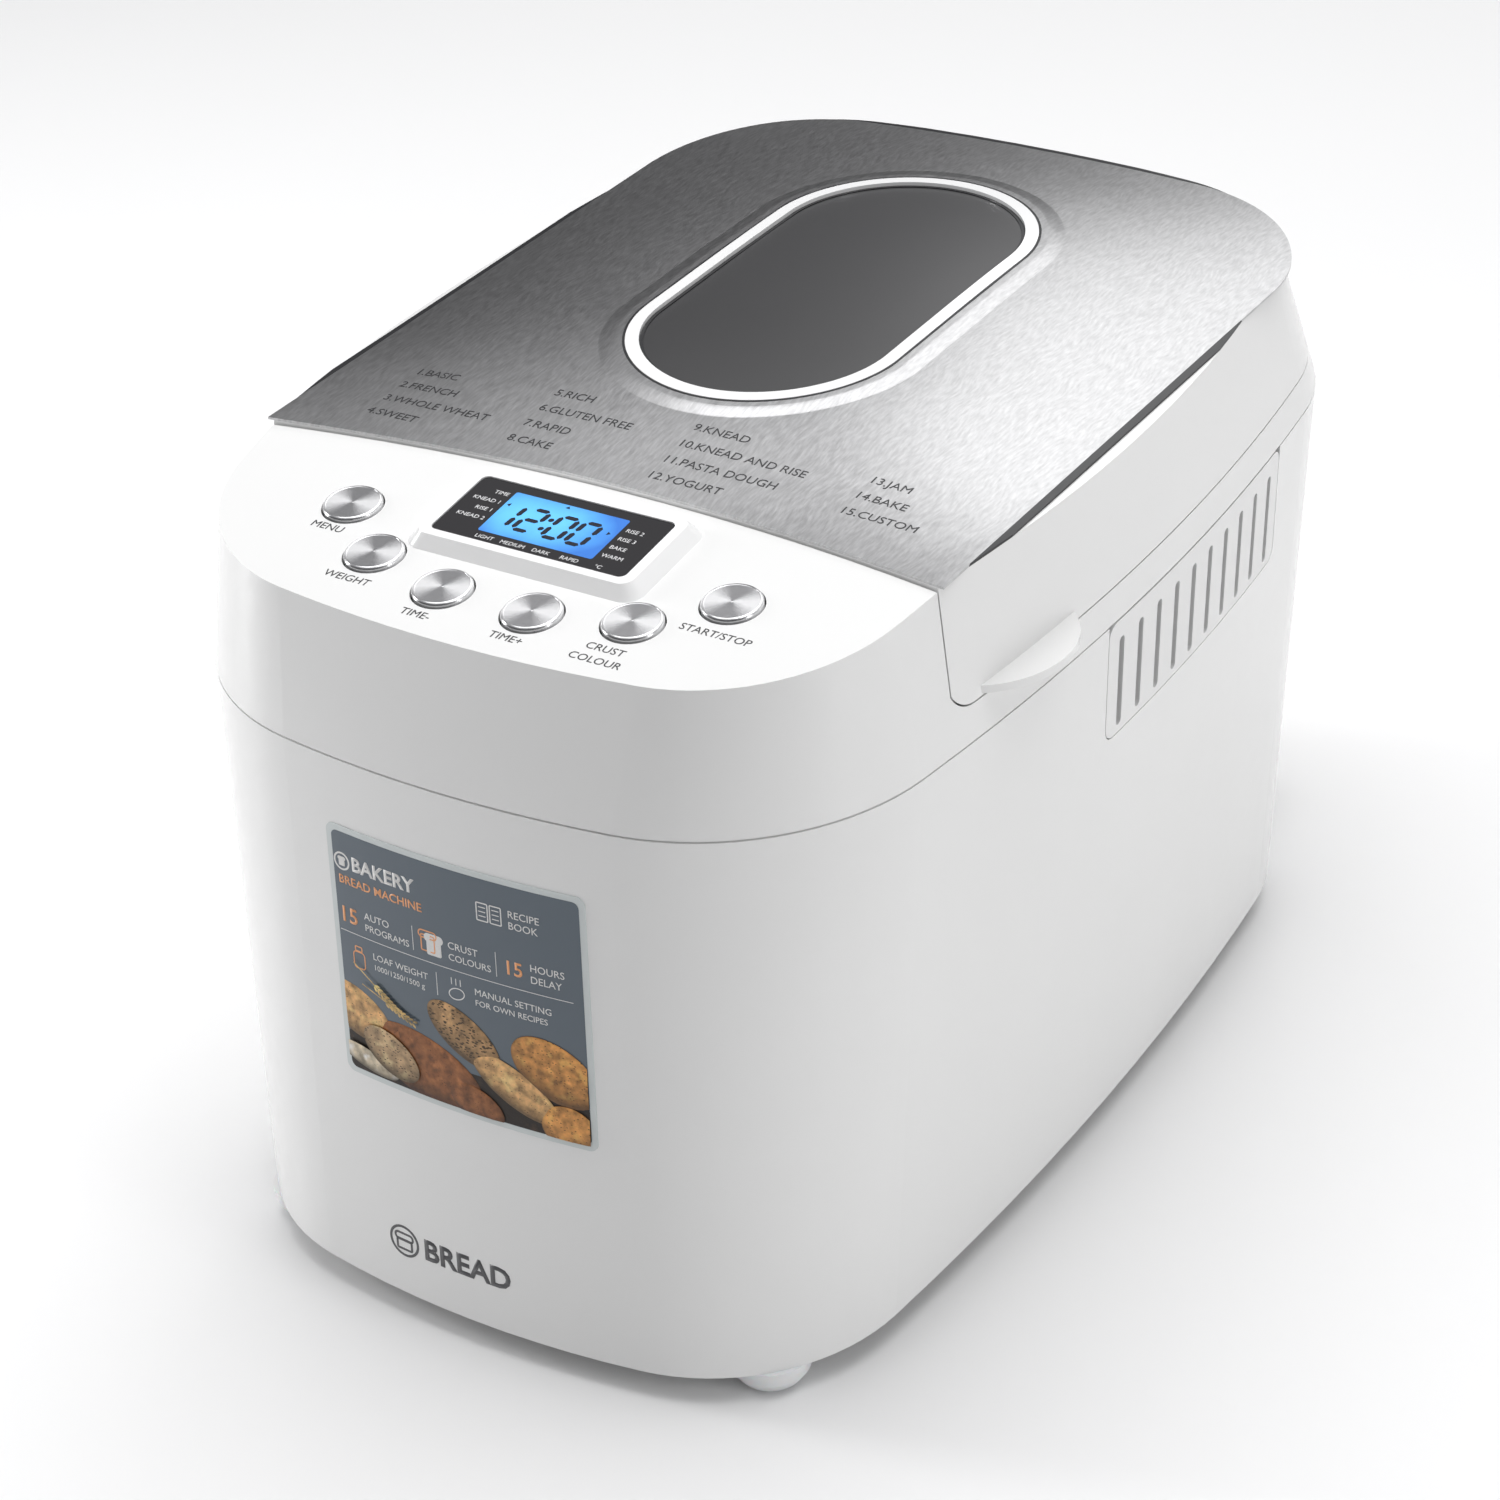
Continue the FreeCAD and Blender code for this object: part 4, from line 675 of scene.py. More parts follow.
class BREAD_OT_keys(bpy.types.Operator):
    """Models the six turned keys with their bright edges, and prints their legends"""

    bl_idname = "bread.keys"
    bl_label = "Keys"

    def execute(self, context):
        look = context.scene.bread_display
        cap = self.cap(look)
        for key in KEYS:
            x, along = key_place("button_" + key)
            use_only(cap)
            bpy.ops.object.duplicate()
            piece = bpy.context.object
            seat(piece, panel_spot(x, along, 0.0))
            metal = self.turned(key, panel_spot(x, along, 0.0).translation)
            finish_piece(piece, "cap_" + key, "key_" + key, "turned_metal", metal, "button_" + key)
        bpy.data.objects.remove(cap)
        self.legends(context)
        return {"FINISHED"}

    def turned(self, key, centre):
        """Metal turned round the key's middle, with a painted highlight: paler, less metallic wedges fixed
        on the key.
        """
        metal = Finish("turned_" + key)
        x, y, z = metal.axes(move=(-centre.x, -centre.y, 0.0))
        grain = metal.noise(700.0, 2.0)
        # Painted highlight: two wedges, from the angle round the key's middle, made paler and less
        # metallic.
        around = (x + y) * (x - y * 0.45) / (x * x + y * y + 1e-7)
        painted_highlight_wedge = metal.node("ShaderNodeClamp", None, {"Value": around * 0.8 + grain * 0.2 + 0.1})
        metal.feed("Base Color", metal.between(painted_highlight_wedge, (0.50, 0.50, 0.51, 1.0), (0.90, 0.90, 0.91, 1.0)))
        metal.feed("Metallic", painted_highlight_wedge * -0.6 + 1.0)
        metal.feed("Roughness", grain * 0.06 + 0.2)
        return metal.material

    def cap(self, look):
        """One key, upright at the origin: bright chamfer, turned rings on top, stem below."""
        radius = 9.15 * MM
        flange = 6.1 * MM
        stem = 6.0 * MM
        bottom = -2.6 * MM
        shoulder = 0.5 * MM
        clear_selection()
        bpy.ops.mesh.primitive_cylinder_add(
            vertices=96, radius=radius, depth=shoulder - bottom, location=(0, 0, (shoulder + bottom) / 2)
        )
        cap = settle(bpy.context.object)
        pick(cap, lambda co: co.z < bottom + 1e-5, "FACE")
        bpy.ops.mesh.inset(thickness=flange)
        bpy.ops.mesh.extrude_region_move(TRANSFORM_OT_translate={"value": (0, 0, -stem)})
        done()
        pick(cap, lambda co: co.z > shoulder - 1e-5, "FACE")
        chamfer = ((0.08, 0.35), (0.16, 0.25), (0.30, 0.20), (0.30, 0.08), (0.12, -0.12))
        for inset, rise in chamfer:
            step_in(inset * MM, rise * MM)
        rim = radius - sum(inset for inset, rise in chamfer) * MM
        half_pitch = rim / (look.key_rings + 1) * 0.5
        for ring in range(look.key_rings):
            step_in(half_pitch, -look.ring_depth)
            step_in(half_pitch, look.ring_depth)
        done()
        bpy.ops.object.shade_smooth_by_angle(angle=math.radians(50.0))
        return cap

    def legends(self, context):
        look = context.scene.bread_print
        names = {
            "menu": ["MENU"], "weight": ["WEIGHT"], "time_minus": ["TIME-"], "time_plus": ["TIME+"],
            "crust": ["CRUST", "COLOUR"], "start": ["START/STOP"],
        }
        drops = {
            "menu": 12.6, "weight": 13.4, "time_minus": 13.4, "time_plus": 13.0,
            "crust": 13.8, "start": 14.6,
        }
        line = 5.6
        lines = []
        for key, rows in names.items():
            centre = middle("button_" + key)
            shift = 3.2 * MM if key == "start" else -0.5 * MM
            for row, name in enumerate(rows):
                y = centre.y - (drops[key] + line * row) * MM
                lines.append(words(name, look.legend_size, centre.x + shift, y))
        piece = gather("key_legends", lines)
        piece.location.z = ABOVE
        wrap(piece, "upper_housing", "z", LIFT, look.relief)
        finish_piece(piece, "key_legends", "housing", "black_plastic", printed("legend_ink", look.ink))


class BREAD_OT_display(bpy.types.Operator):
    """Lights the display: backlight, clock digits, pointers and the words round them"""

    bl_idname = "bread.display"
    bl_label = "Display"

    def execute(self, context):
        look = context.scene.bread_display
        dress(plastic("bezel_satin", (0.88, 0.88, 0.88), 0.24, 0.3, coat=0.3), "display_bezel")
        dress(plastic("lens_black", (0.012, 0.011, 0.013), 0.10, 0.1, coat=0.5), "display_lens")
        dress(self.backlight(look, "lcd_cell", 0.0), "lcd_module")
        surface = LENS_RISE + LENS_HALF_THICKNESS
        glow = tile(40.4 * MM, 21.0 * MM, 0.0, 0.6 * MM, 0.8 * MM)
        modify(glow, "SOLIDIFY", thickness=0.05 * MM, offset=1.0)
        seat(glow, panel_spot(0.0, 0.0, surface))
        finish_piece(glow, "backlight", "housing", "lcd_blue", self.backlight(look, "lcd_glow", 1.0))
        marks = self.clock(look) + self.pointers()
        piece = gather("clock_digits", marks)
        modify(piece, "SOLIDIFY", thickness=0.05 * MM, offset=1.0)
        seat(piece, panel_spot(0.0, 0.0, surface + 0.05 * MM))
        ink = printed("segment_black", (0.006, 0.008, 0.02), 0.25)
        finish_piece(piece, "clock_digits", "housing", "lens_black", ink)
        piece = gather("display_words", self.notes())
        modify(piece, "SOLIDIFY", thickness=0.04 * MM, offset=1.0)
        seat(piece, panel_spot(0.0, 0.0, surface))
        pale = printed("display_white", (0.75, 0.75, 0.76), 0.35)
        finish_piece(piece, "display_words", "housing", "white_satin", pale)
        return {"FINISHED"}

    def backlight(self, look, name, power):
        """Blue light that fades toward its corners."""
        centre = LENS_MIDDLE
        finish = Finish(name, Roughness=0.18, Coat_Weight=0.5, Coat_Roughness=0.05)
        x, y, z = finish.axes(move=(-centre.x, -centre.y, 0.0))
        far = ((x + 0.006) * 38.0) ** 2.0 + ((y - 0.001) * 70.0) ** 2.0
        cloud = finish.noise(90.0, 2.0) * 0.5 - 0.25
        tint = finish.between(far + cloud, tuple(look.glow_near), tuple(look.glow_far))
        finish.feed("Base Color", tint)
        finish.feed("Emission Color", tint)
        finish.shader.inputs["Emission Strength"].default_value = 0.36 * power
        return finish.material

    def bar(self, x, y, length, width, upright):
        """One segment: a bar with pointed ends."""
        piece = tile(length, width, x, y)
        pick(piece, lambda co: True)
        bpy.ops.mesh.bevel(offset=width * 0.46, offset_type="OFFSET", segments=1, affect="VERTICES")
        done()
        if upright:
            edit_all(piece)
            bpy.ops.transform.rotate(value=math.radians(90.0), orient_axis="Z", center_override=(x, y, 0.0))
            done()
        return piece

    def clock(self, look):
        """Twelve o'clock in seven-segment digits that lean slightly."""
        high = look.digit
        wide = high * 0.52
        thick = high * 0.15
        run = high / 2 - thick * 0.55
        across = wide - thick * 0.6
        segments = {
            "a": (0.0, high / 2, across, False), "d": (0.0, -high / 2, across, False),
            "g": (0.0, 0.0, across, False), "b": (wide / 2, high / 4, run, True),
            "c": (wide / 2, -high / 4, run, True), "f": (-wide / 2, high / 4, run, True),
            "e": (-wide / 2, -high / 4, run, True),
        }
        made = []
        digits = ((-16.0, "bc"), (-7.6, "abged"), (2.6, "abcdef"), (10.8, "abcdef"))
        for x, lit in digits:
            for letter in lit:
                dx, dy, length, upright = segments[letter]
                made.append(self.bar(x * MM + dx, dy, length, thick, upright))
        for y in (0.22, -0.22):
            made.append(disc(thick * 0.55, -2.4 * MM, y * high, 16))
        piece = gather("digits", made)
        lean = 0.10      # across, for each unit up
        for vertex in piece.data.vertices:
            vertex.co.x += vertex.co.y * lean
        return [piece]

    def pointers(self):
        """Small arrows at the edge of the backlight."""
        made = []
        for x, y, turn in ((-18.6, 4.6, 90.0), (17.6, 3.0, -90.0), (-1.0, 9.8, 0.0)):
            made.append(disc(0.95 * MM, x * MM, y * MM, 3, 0.8, math.radians(turn)))
        return made

    def notes(self):
        left = ["TIME", "KNEAD 1", "RISE 1", "KNEAD 2"]
        right = ["RISE 2", "RISE 3", "BAKE", "WARM"]
        below = ["LIGHT", "MEDIUM", "DARK", "RAPID", "°C"]
        made = []
        size, side, line = 2.4, 21.6, 4.4
        for row, name in enumerate(left):
            made.append(words(name, size * MM, -side * MM, (8.9 - line * row) * MM, "RIGHT"))
        for row, name in enumerate(right):
            made.append(words(name, size * MM, side * MM, (6.4 - line * row) * MM, "LEFT"))
        for column, name in enumerate(below):
            made.append(words(name, 2.3 * MM, (-16.0 + 10.0 * column) * MM, -12.4 * MM, "CENTER"))
        return made


class BREAD_OT_label(bpy.types.Operator):
    """Prints the front label: slate ground, numerals, icons, words and a picture of loaves"""

    bl_idname = "bread.label"
    bl_label = "Front label"

    def lay(self, piece, name, material, lift):
        """Stands a flat drawing upright in front of the label and lays it on."""
        seat(piece, UPRIGHT)
        seat(piece, Matrix.Translation((self.centre.x, AHEAD, self.centre.z)))
        wrap(piece, "front_label", "y", lift * MM, 0.04 * MM)
        finish_piece(piece, name, "housing", "label_film", material)

    def execute(self, context):
        look = context.scene.bread_print
        self.centre = middle("front_label")
        low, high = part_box("front_label")
        self.half = Vector(((high.x - low.x) / 2, (high.z - low.z) / 2))
        film = plastic("label_border", look.border, 0.25, 0.2, coat=0.3)
        dress(film, "front_label")
        ground = tile((self.half.x - 2.0 * MM) * 2, (self.half.y - 2.0 * MM) * 2, corner=2.2 * MM)
        slice_up(ground, 0, 3.0 * MM)
        slice_up(ground, 1, 8.0 * MM)
        self.lay(ground, "label_ground", plastic("label_slate", look.slate, 0.3, 0.2, coat=0.4), 0.02)
        pale = printed("label_pale", look.pale, 0.4)
        accent = printed("label_accent", look.accent, 0.4)
        self.lay(gather("label_words", self.phrases()), "label_words", pale, 0.07)
        self.lay(gather("label_numerals", self.numerals()), "label_numerals", accent, 0.07)
        self.picture()
        return {"FINISHED"}

    def phrases(self):
        # text, size, left end, height on the label, weight
        rows = [
            ("BAKERY", 6.6, -36.8, 31.8, 0.03),
            ("RECIPE", 3.5, 20.1, 32.4, 0.0), ("BOOK", 3.5, 20.1, 28.6, 0.0),
            ("AUTO", 3.5, -33.4, 15.2, 0.0), ("PROGRAMS", 3.3, -33.4, 11.2, 0.0),
            ("CRUST", 3.5, -1.9, 15.6, 0.0), ("COLOURS", 3.3, -1.9, 11.6, 0.0),
            ("HOURS", 3.5, 26.6, 15.8, 0.0), ("DELAY", 3.5, 26.6, 11.8, 0.0),
            ("LOAF WEIGHT", 3.2, -31.2, 1.8, 0.0), ("1000/1250/1500 g", 2.7, -31.2, -2.0, 0.0),
            ("MANUAL SETTING", 3.2, 6.7, 2.0, 0.0), ("FOR OWN RECIPES", 2.9, 6.7, -1.8, 0.0),
        ]
        made = [words(text, size * MM, x * MM, y * MM, "LEFT", bold) for text, size, x, y, bold in rows]
        for x, y, length in ((-14.8, 14.0, 8.4), (15.1, 14.0, 8.4), (-6.9, 0.6, 8.0)):
            made.append(tile(0.22 * MM, length * MM, x * MM, y * MM))
        rule = tile(84.0 * MM, 0.22 * MM, -1.4 * MM, 7.4 * MM)
        made.append(slice_up(rule, 0, 4.0 * MM))
        made.append(self.slice_shape(-7.0, 13.8, 7.4, filled=True))
        made.append(self.book())
        made.append(hollow(disc(3.1 * MM, -40.6 * MM, 31.8 * MM, 32), 0.6 * MM))
        made.append(self.slice_shape(-40.6, 31.8, 3.2, filled=True))
        made.append(hollow(disc(3.0 * MM, 0.2 * MM, -0.8 * MM, 28, 0.7, 0.3), 0.35 * MM))
        for i in range(3):
            made.append(tile(0.3 * MM, 2.4 * MM, (-1.4 + 1.6 * i) * MM, 3.4 * MM, 0.13 * MM, 2))
        return made

    def book(self):
        """A small open book."""
        pages = []
        for side in (-1.0, 1.0):
            middle_x = (13.7 + 2.3 * side) * MM
            pages.append(hollow(tile(4.2 * MM, 6.4 * MM, middle_x, 30.8 * MM, 0.5 * MM, 3), 0.4 * MM))
            for row in range(3):
                pages.append(tile(2.4 * MM, 0.3 * MM, middle_x, (32.4 - 1.5 * row) * MM))
        return gather("book", pages)

    def numerals(self):
        made = [
            words("BREAD MACHINE", 4.1 * MM, -42.4 * MM, 25.4 * MM, "LEFT", 0.014),
            words("15", 7.6 * MM, -43.4 * MM, 13.0 * MM, "LEFT", 0.012),
            words("15", 6.8 * MM, 17.6 * MM, 13.8 * MM, "LEFT", 0.012),
        ]
        made.append(self.slice_shape(-9.2, 14.6, 7.4, filled=False))
        jar = tile(4.8 * MM, 6.2 * MM, -36.8 * MM, -1.6 * MM, 1.4 * MM)
        neck = tile(3.0 * MM, 2.0 * MM, -36.8 * MM, 2.4 * MM, 0.5 * MM, 3)
        return made + [hollow(jar, 0.4 * MM), hollow(neck, 0.4 * MM)]

    def slice_shape(self, x, y, size, filled):
        """A slice of tin bread."""
        size *= MM
        body = tile(size * 0.72, size * 0.80, x * MM, y * MM - size * 0.1, size * 0.08, 3)
        if not filled:
            hollow(body, 0.45 * MM)
        top = tile(size * 0.94, size * 0.40, x * MM, y * MM + size * 0.30, size * 0.19, 6)
        if not filled:
            hollow(top, 0.45 * MM)
        return gather("slice", [body, top])

    def picture(self):
        """Loaves and buns as a low picture along the foot of the label."""
        edge_x = self.half.x - 2.1 * MM
        edge_y = -self.half.y + 2.1 * MM
        table = tile(edge_x * 2, 14.0 * MM, 0.0, edge_y + 7.0 * MM, 2.0 * MM)
        slice_up(table, 0, 3.0 * MM)
        shadow = self.crust("picture_dark", (0.035, 0.018, 0.010), 0.5, 0.0, False)
        self.lay(table, "picture_shade", shadow, 0.05)
        # name, x, y, half width, half height, turn, kind
        loaves = [
            ("bun_pale", -40.0, -20.5, 14.5, 8.6, -20.0, "pale"),
            ("loaf_cut", -14.0, -31.5, 22.0, 11.5, -16.0, "dark"),
            ("bun_seeded", 1.5, -15.0, 14.5, 7.4, -33.0, "seeded"),
            ("bun_gold", 33.0, -19.0, 15.5, 10.0, -25.0, "gold"),
            ("roll_long", 19.0, -28.5, 16.5, 6.6, -29.0, "pale"),
            ("bun_small", 5.0, -38.5, 10.0, 6.0, -20.0, "dark"),
            ("bun_sugared", 37.0, -38.0, 9.5, 8.0, -10.0, "gold"),
        ]
        kinds = {
            "pale": self.crust("crust_pale", (0.62, 0.36, 0.15), 1.6, 0.10),
            "gold": self.crust("crust_gold", (0.66, 0.30, 0.08), 1.4, 0.12),
            "dark": self.crust("crust_dark", (0.30, 0.11, 0.035), 1.3, 0.08),
            "seeded": self.crust("crust_seeded", (0.46, 0.27, 0.12), 1.2, 0.22),
        }
        lift = 0.10
        for name, x, y, half_x, half_y, turn, kind in loaves:
            piece = self.loaf(x, y, half_x, half_y, turn, edge_x, edge_y)
            self.lay_relief(piece, name, kinds[kind], lift, 0.3)
            lift += 0.05
        crumb = self.crust("crumb", (0.60, 0.40, 0.22), 1.1, 0.16)
        face = self.loaf(-26.5, -31.0, 11.5, 7.0, -28.0, edge_x, edge_y)
        self.lay_relief(face, "cut_face", crumb, lift + 0.32, 0.02)
        white = self.crust("crumb_white", (0.80, 0.68, 0.50), 1.1, 0.05)
        slab = self.loaf(-36.0, -36.5, 12.0, 3.6, -12.0, edge_x, edge_y)
        self.lay_relief(slab, "slice_white", white, lift + 0.30, 0.02)
        self.wheat(lift)

    def wheat(self, lift):
        """Two ears of wheat: a stalk and pairs of grains."""
        made = []
        for start_x, start_y, turn in ((-31.0, -8.0, -0.62), (-27.0, -12.5, -0.35)):
            stalk = tile(19.0 * MM, 0.35 * MM)
            grains = [stalk]
            for i in range(8):
                for side in (-1.0, 1.0):
                    x = (1.0 + 1.5 * i) * MM
                    grains.append(disc(0.95 * MM, x, 0.75 * side * MM, 10, 0.42, 0.5 * side))
            ear = gather("ear", grains)
            place = Matrix.Translation((start_x * MM, start_y * MM, 0.0))
            made.append(seat(ear, place @ Matrix.Rotation(turn, 4, "Z")))
        piece = gather("wheat_ears", made)
        gold = self.crust("wheat_gold", (0.62, 0.42, 0.16), 1.4, 0.0, False)
        self.lay(piece, "wheat_ears", gold, lift + 0.3)

    def loaf(self, x, y, half_x, half_y, turn, edge_x, edge_y):
        """A loaf's outline with rings inside, trimmed to the picture's edges."""
        piece = disc(1.0, sides=40)
        edit_all(piece)
        for width in (0.05, 0.10, 0.15, 0.2, 0.2, 0.15):
            bpy.ops.mesh.inset(thickness=width)
        bpy.ops.mesh.poke()
        bpy.ops.mesh.select_all(action="SELECT")
        bpy.ops.transform.resize(value=(half_x * MM, half_y * MM, 1.0))
        done()
        place = Matrix.Translation((x * MM, y * MM, 0.0)) @ Matrix.Rotation(math.radians(turn), 4, "Z")
        seat(piece, place)
        cuts = (
            ((-edge_x, 0, 0), (-1, 0, 0)), ((edge_x, 0, 0), (1, 0, 0)), ((0, edge_y, 0), (0, -1, 0)),
        )
        for point, out in cuts:
            edit_all(piece)
            bpy.ops.mesh.bisect(plane_co=point, plane_no=out, clear_outer=True)
            done()
        piece["outline"] = (x * MM, y * MM, half_x * MM, half_y * MM, math.radians(turn))
        return piece

    def lay_relief(self, piece, name, material, lift, dome):
        """Lays a loaf on the label, with its middle standing a little proud."""
        x, y, half_x, half_y, turn = piece["outline"]
        rises = []
        lit = piece.data.attributes.new("lit", "FLOAT", "POINT")
        for vertex in piece.data.vertices:
            dx, dy = vertex.co.x - x, vertex.co.y - y
            along = (dx * math.cos(turn) + dy * math.sin(turn)) / half_x
            across = (dy * math.cos(turn) - dx * math.sin(turn)) / half_y
            round_part = math.sqrt(max(0.0, 1.0 - along * along - across * across))
            rises.append(dome * MM * round_part)
            lit.data[vertex.index].value = 0.10 + 0.55 * round_part + 0.45 * across - 0.12 * along
        seat(piece, UPRIGHT)
        seat(piece, Matrix.Translation((self.centre.x, AHEAD, self.centre.z)))
        project(piece, "front_label", "y", lift * MM)
        for vertex, rise in zip(piece.data.vertices, rises):
            vertex.co.y -= rise
        modify(piece, "SOLIDIFY", thickness=0.03 * MM, offset=-1.0)
        bpy.ops.object.shade_smooth_by_angle(angle=math.radians(60.0))
        finish_piece(piece, name, "housing", "label_film", material)

    def crust(self, name, tint, light, specks, rounded=True):
        """Baked crust: blotched browns, a pale bloom and dark seeds."""
        finish = Finish(name, Roughness=0.55)
        blotch = finish.noise(330.0, 5.0)
        rough = finish.noise(1500.0, 3.0)
        base = finish.between(blotch * 2.2 - 0.6, shade(tint, 0.35), shade(tint, light))
        bloom = finish.noise(240.0, 4.0, move=(0.3, 0.1, 0.2)) * 5.0 - 2.7
        held = finish.node("ShaderNodeClamp", None, {"Value": bloom})
        base = finish.between(held * 0.7, base, shade(tint, 2.0))
        if specks:
            cells = {"Vector": finish.place((1.0, 1.0, 1.9), turn=(0.0, 0.5, 0.0)), "Scale": 620.0}
            seeds = finish.node("ShaderNodeTexVoronoi", None, cells)
            base = finish.between(seeds < specks * 1.6, base, shade(tint, 0.16))
        if rounded:
            lit = finish.node("ShaderNodeAttribute", {"attribute_name": "lit"}, output="Fac")
            deep = finish.node("ShaderNodeClamp", None, {"Value": 0.95 - lit * 1.6})
            base = finish.between(deep * 0.85, base, shade(tint, 0.10))
        finish.feed("Base Color", base)
        finish.bump(blotch + rough * 0.5, 0.2 * MM, 0.8)
        return finish.material


class BREAD_OT_mark(bpy.types.Operator):
    """Prints a plain loaf sign and the word beside it at the foot of the front"""

    bl_idname = "bread.mark"
    bl_label = "Front mark"

    def execute(self, context):
        look = context.scene.bread_print
        label = middle("front_label")
        word = words("BREAD", 10.8 * MM, 8.2 * MM, 0.0, "CENTER", 0.03)
        made = [word]
        ring = slice_up(hollow(disc(5.9 * MM, -16.2 * MM, 0.2 * MM, 48), 0.9 * MM), 0, 3.0 * MM)
        loaf = tile(6.6 * MM, 4.4 * MM, -16.2 * MM, -1.2 * MM, 0.8 * MM)
        top = tile(7.8 * MM, 3.4 * MM, -16.2 * MM, 1.7 * MM, 1.6 * MM, 6)
        made += [ring, hollow(loaf, 0.8 * MM), hollow(top, 0.8 * MM)]
        piece = gather("front_mark", made)
        seat(piece, UPRIGHT)
        seat(piece, Matrix.Translation((label.x - 12.5 * MM, AHEAD, label.z - 102.4 * MM)))
        wrap(piece, "lower_housing", "y", LIFT, look.relief)
        finish_piece(piece, "front_mark", "housing", "black_plastic", printed("mark_grey", look.mark, 0.3))
        return {"FINISHED"}


class BREAD_OT_inside(bpy.types.Operator):
    """Finishes the oven, pan, blades, drive, boards and screws"""

    bl_idname = "bread.inside"
    bl_label = "Inside"

    def execute(self, context):
        steel = rolled("sheet_steel", (0.42, 0.42, 0.43), (0.66, 0.66, 0.67), (40.0, 40.0, 900.0))
        dress(steel, "oven_chamber", "pan_clips", "heater_clips", "temperature_sensor")
        lid_plate = rolled("lid_plate", (0.60, 0.61, 0.62), (0.78, 0.79, 0.80), (30.0, 700.0, 30.0), 0.38)
        dress(lid_plate, "lid_inner_panel", "pan_skirt")
        shaft = rolled("ground_shaft", (0.48, 0.48, 0.49), (0.68, 0.68, 0.69), (90.0, 90.0, 2400.0), 0.25)
        dress(shaft, "drive_shaft_front", "drive_shaft_rear", "pan_shaft_front", "pan_shaft_rear")
        dress(shaft, "motor_shaft", "motor_pulley", "hinge_pins")
        zinc = cast("zinc_screw", (0.55, 0.55, 0.56), roughness=0.3)
        dress(zinc, "lid_screws", "frame_screws", "base_screws")
        coating = cast("pan_coating", (0.045, 0.045, 0.048), 0.3, 0.36, 1500.0, 0.04, speck=0.14)
        dress(coating, "bread_pan", "kneading_blade_front", "kneading_blade_rear")
        dress(cast("heater_sheath", (0.20, 0.19, 0.18), 0.8, 0.5), "heating_element")
        dress(cast("cast_frame", (0.58, 0.59, 0.61), 1.0, 0.48, 600.0, 0.12), "drive_frame")
        dress(cast("sintered_bronze", (0.48, 0.31, 0.14), 1.0, 0.4), "drive_bearings", "pan_bushes")
        dress(cast("motor_paint", (0.10, 0.105, 0.11), 0.2, 0.4, 700.0, 0.08), "motor")
        chrome = Finish("handle_chrome", Metallic=1.0)
        tarnish = chrome.noise(120.0, 3.0)
        chrome.feed("Base Color", chrome.between(tarnish, (0.66, 0.66, 0.67, 1.0), (0.80, 0.80, 0.82, 1.0)))
        chrome.feed("Roughness", tarnish * 0.08 + 0.05)
        dress(chrome.material, "pan_handle")
        dress(plastic("silicone_grey", (0.30, 0.31, 0.32), 0.55, 1.0), "lid_seal")
        rubber = plastic("belt_rubber", (0.025, 0.025, 0.026), 0.6, 1.5)
        dress(rubber, "drive_belt", "transfer_belt")
        wheel = plastic("pulley_grey", (0.30, 0.31, 0.33), 0.45, 0.8)
        dress(wheel, "main_pulley", "transfer_pulley_front", "transfer_pulley_rear", "motor_capacitor")
        dress(self.board(), "control_board")
        black = plastic("parts_black", (0.05, 0.05, 0.055), 0.4, 0.8)
        dress(black, "tact_switches", "power_board", "thermal_fuse")
        pane = Finish("inner_pane", Roughness=0.04, Alpha=0.4, IOR=1.5)
        haze = pane.noise(40.0, 2.0)
        pane.feed("Base Color", pane.between(haze, (0.70, 0.73, 0.73, 1.0), (0.80, 0.83, 0.83, 1.0)))
        dress(pane.material, "window_inner_glass")
        return {"FINISHED"}

    def board(self):
        """Green solder mask with faint copper tracks."""
        finish = Finish("solder_mask", Roughness=0.3)
        cells = {"Vector": finish.place(), "Scale": 260.0}
        tracks = finish.node("ShaderNodeTexVoronoi", {"feature": "DISTANCE_TO_EDGE"}, cells)
        lines = tracks < 0.05
        tint = finish.between(lines, (0.010, 0.085, 0.040, 1.0), (0.03, 0.17, 0.07, 1.0))
        finish.feed("Base Color", tint)
        return finish.material


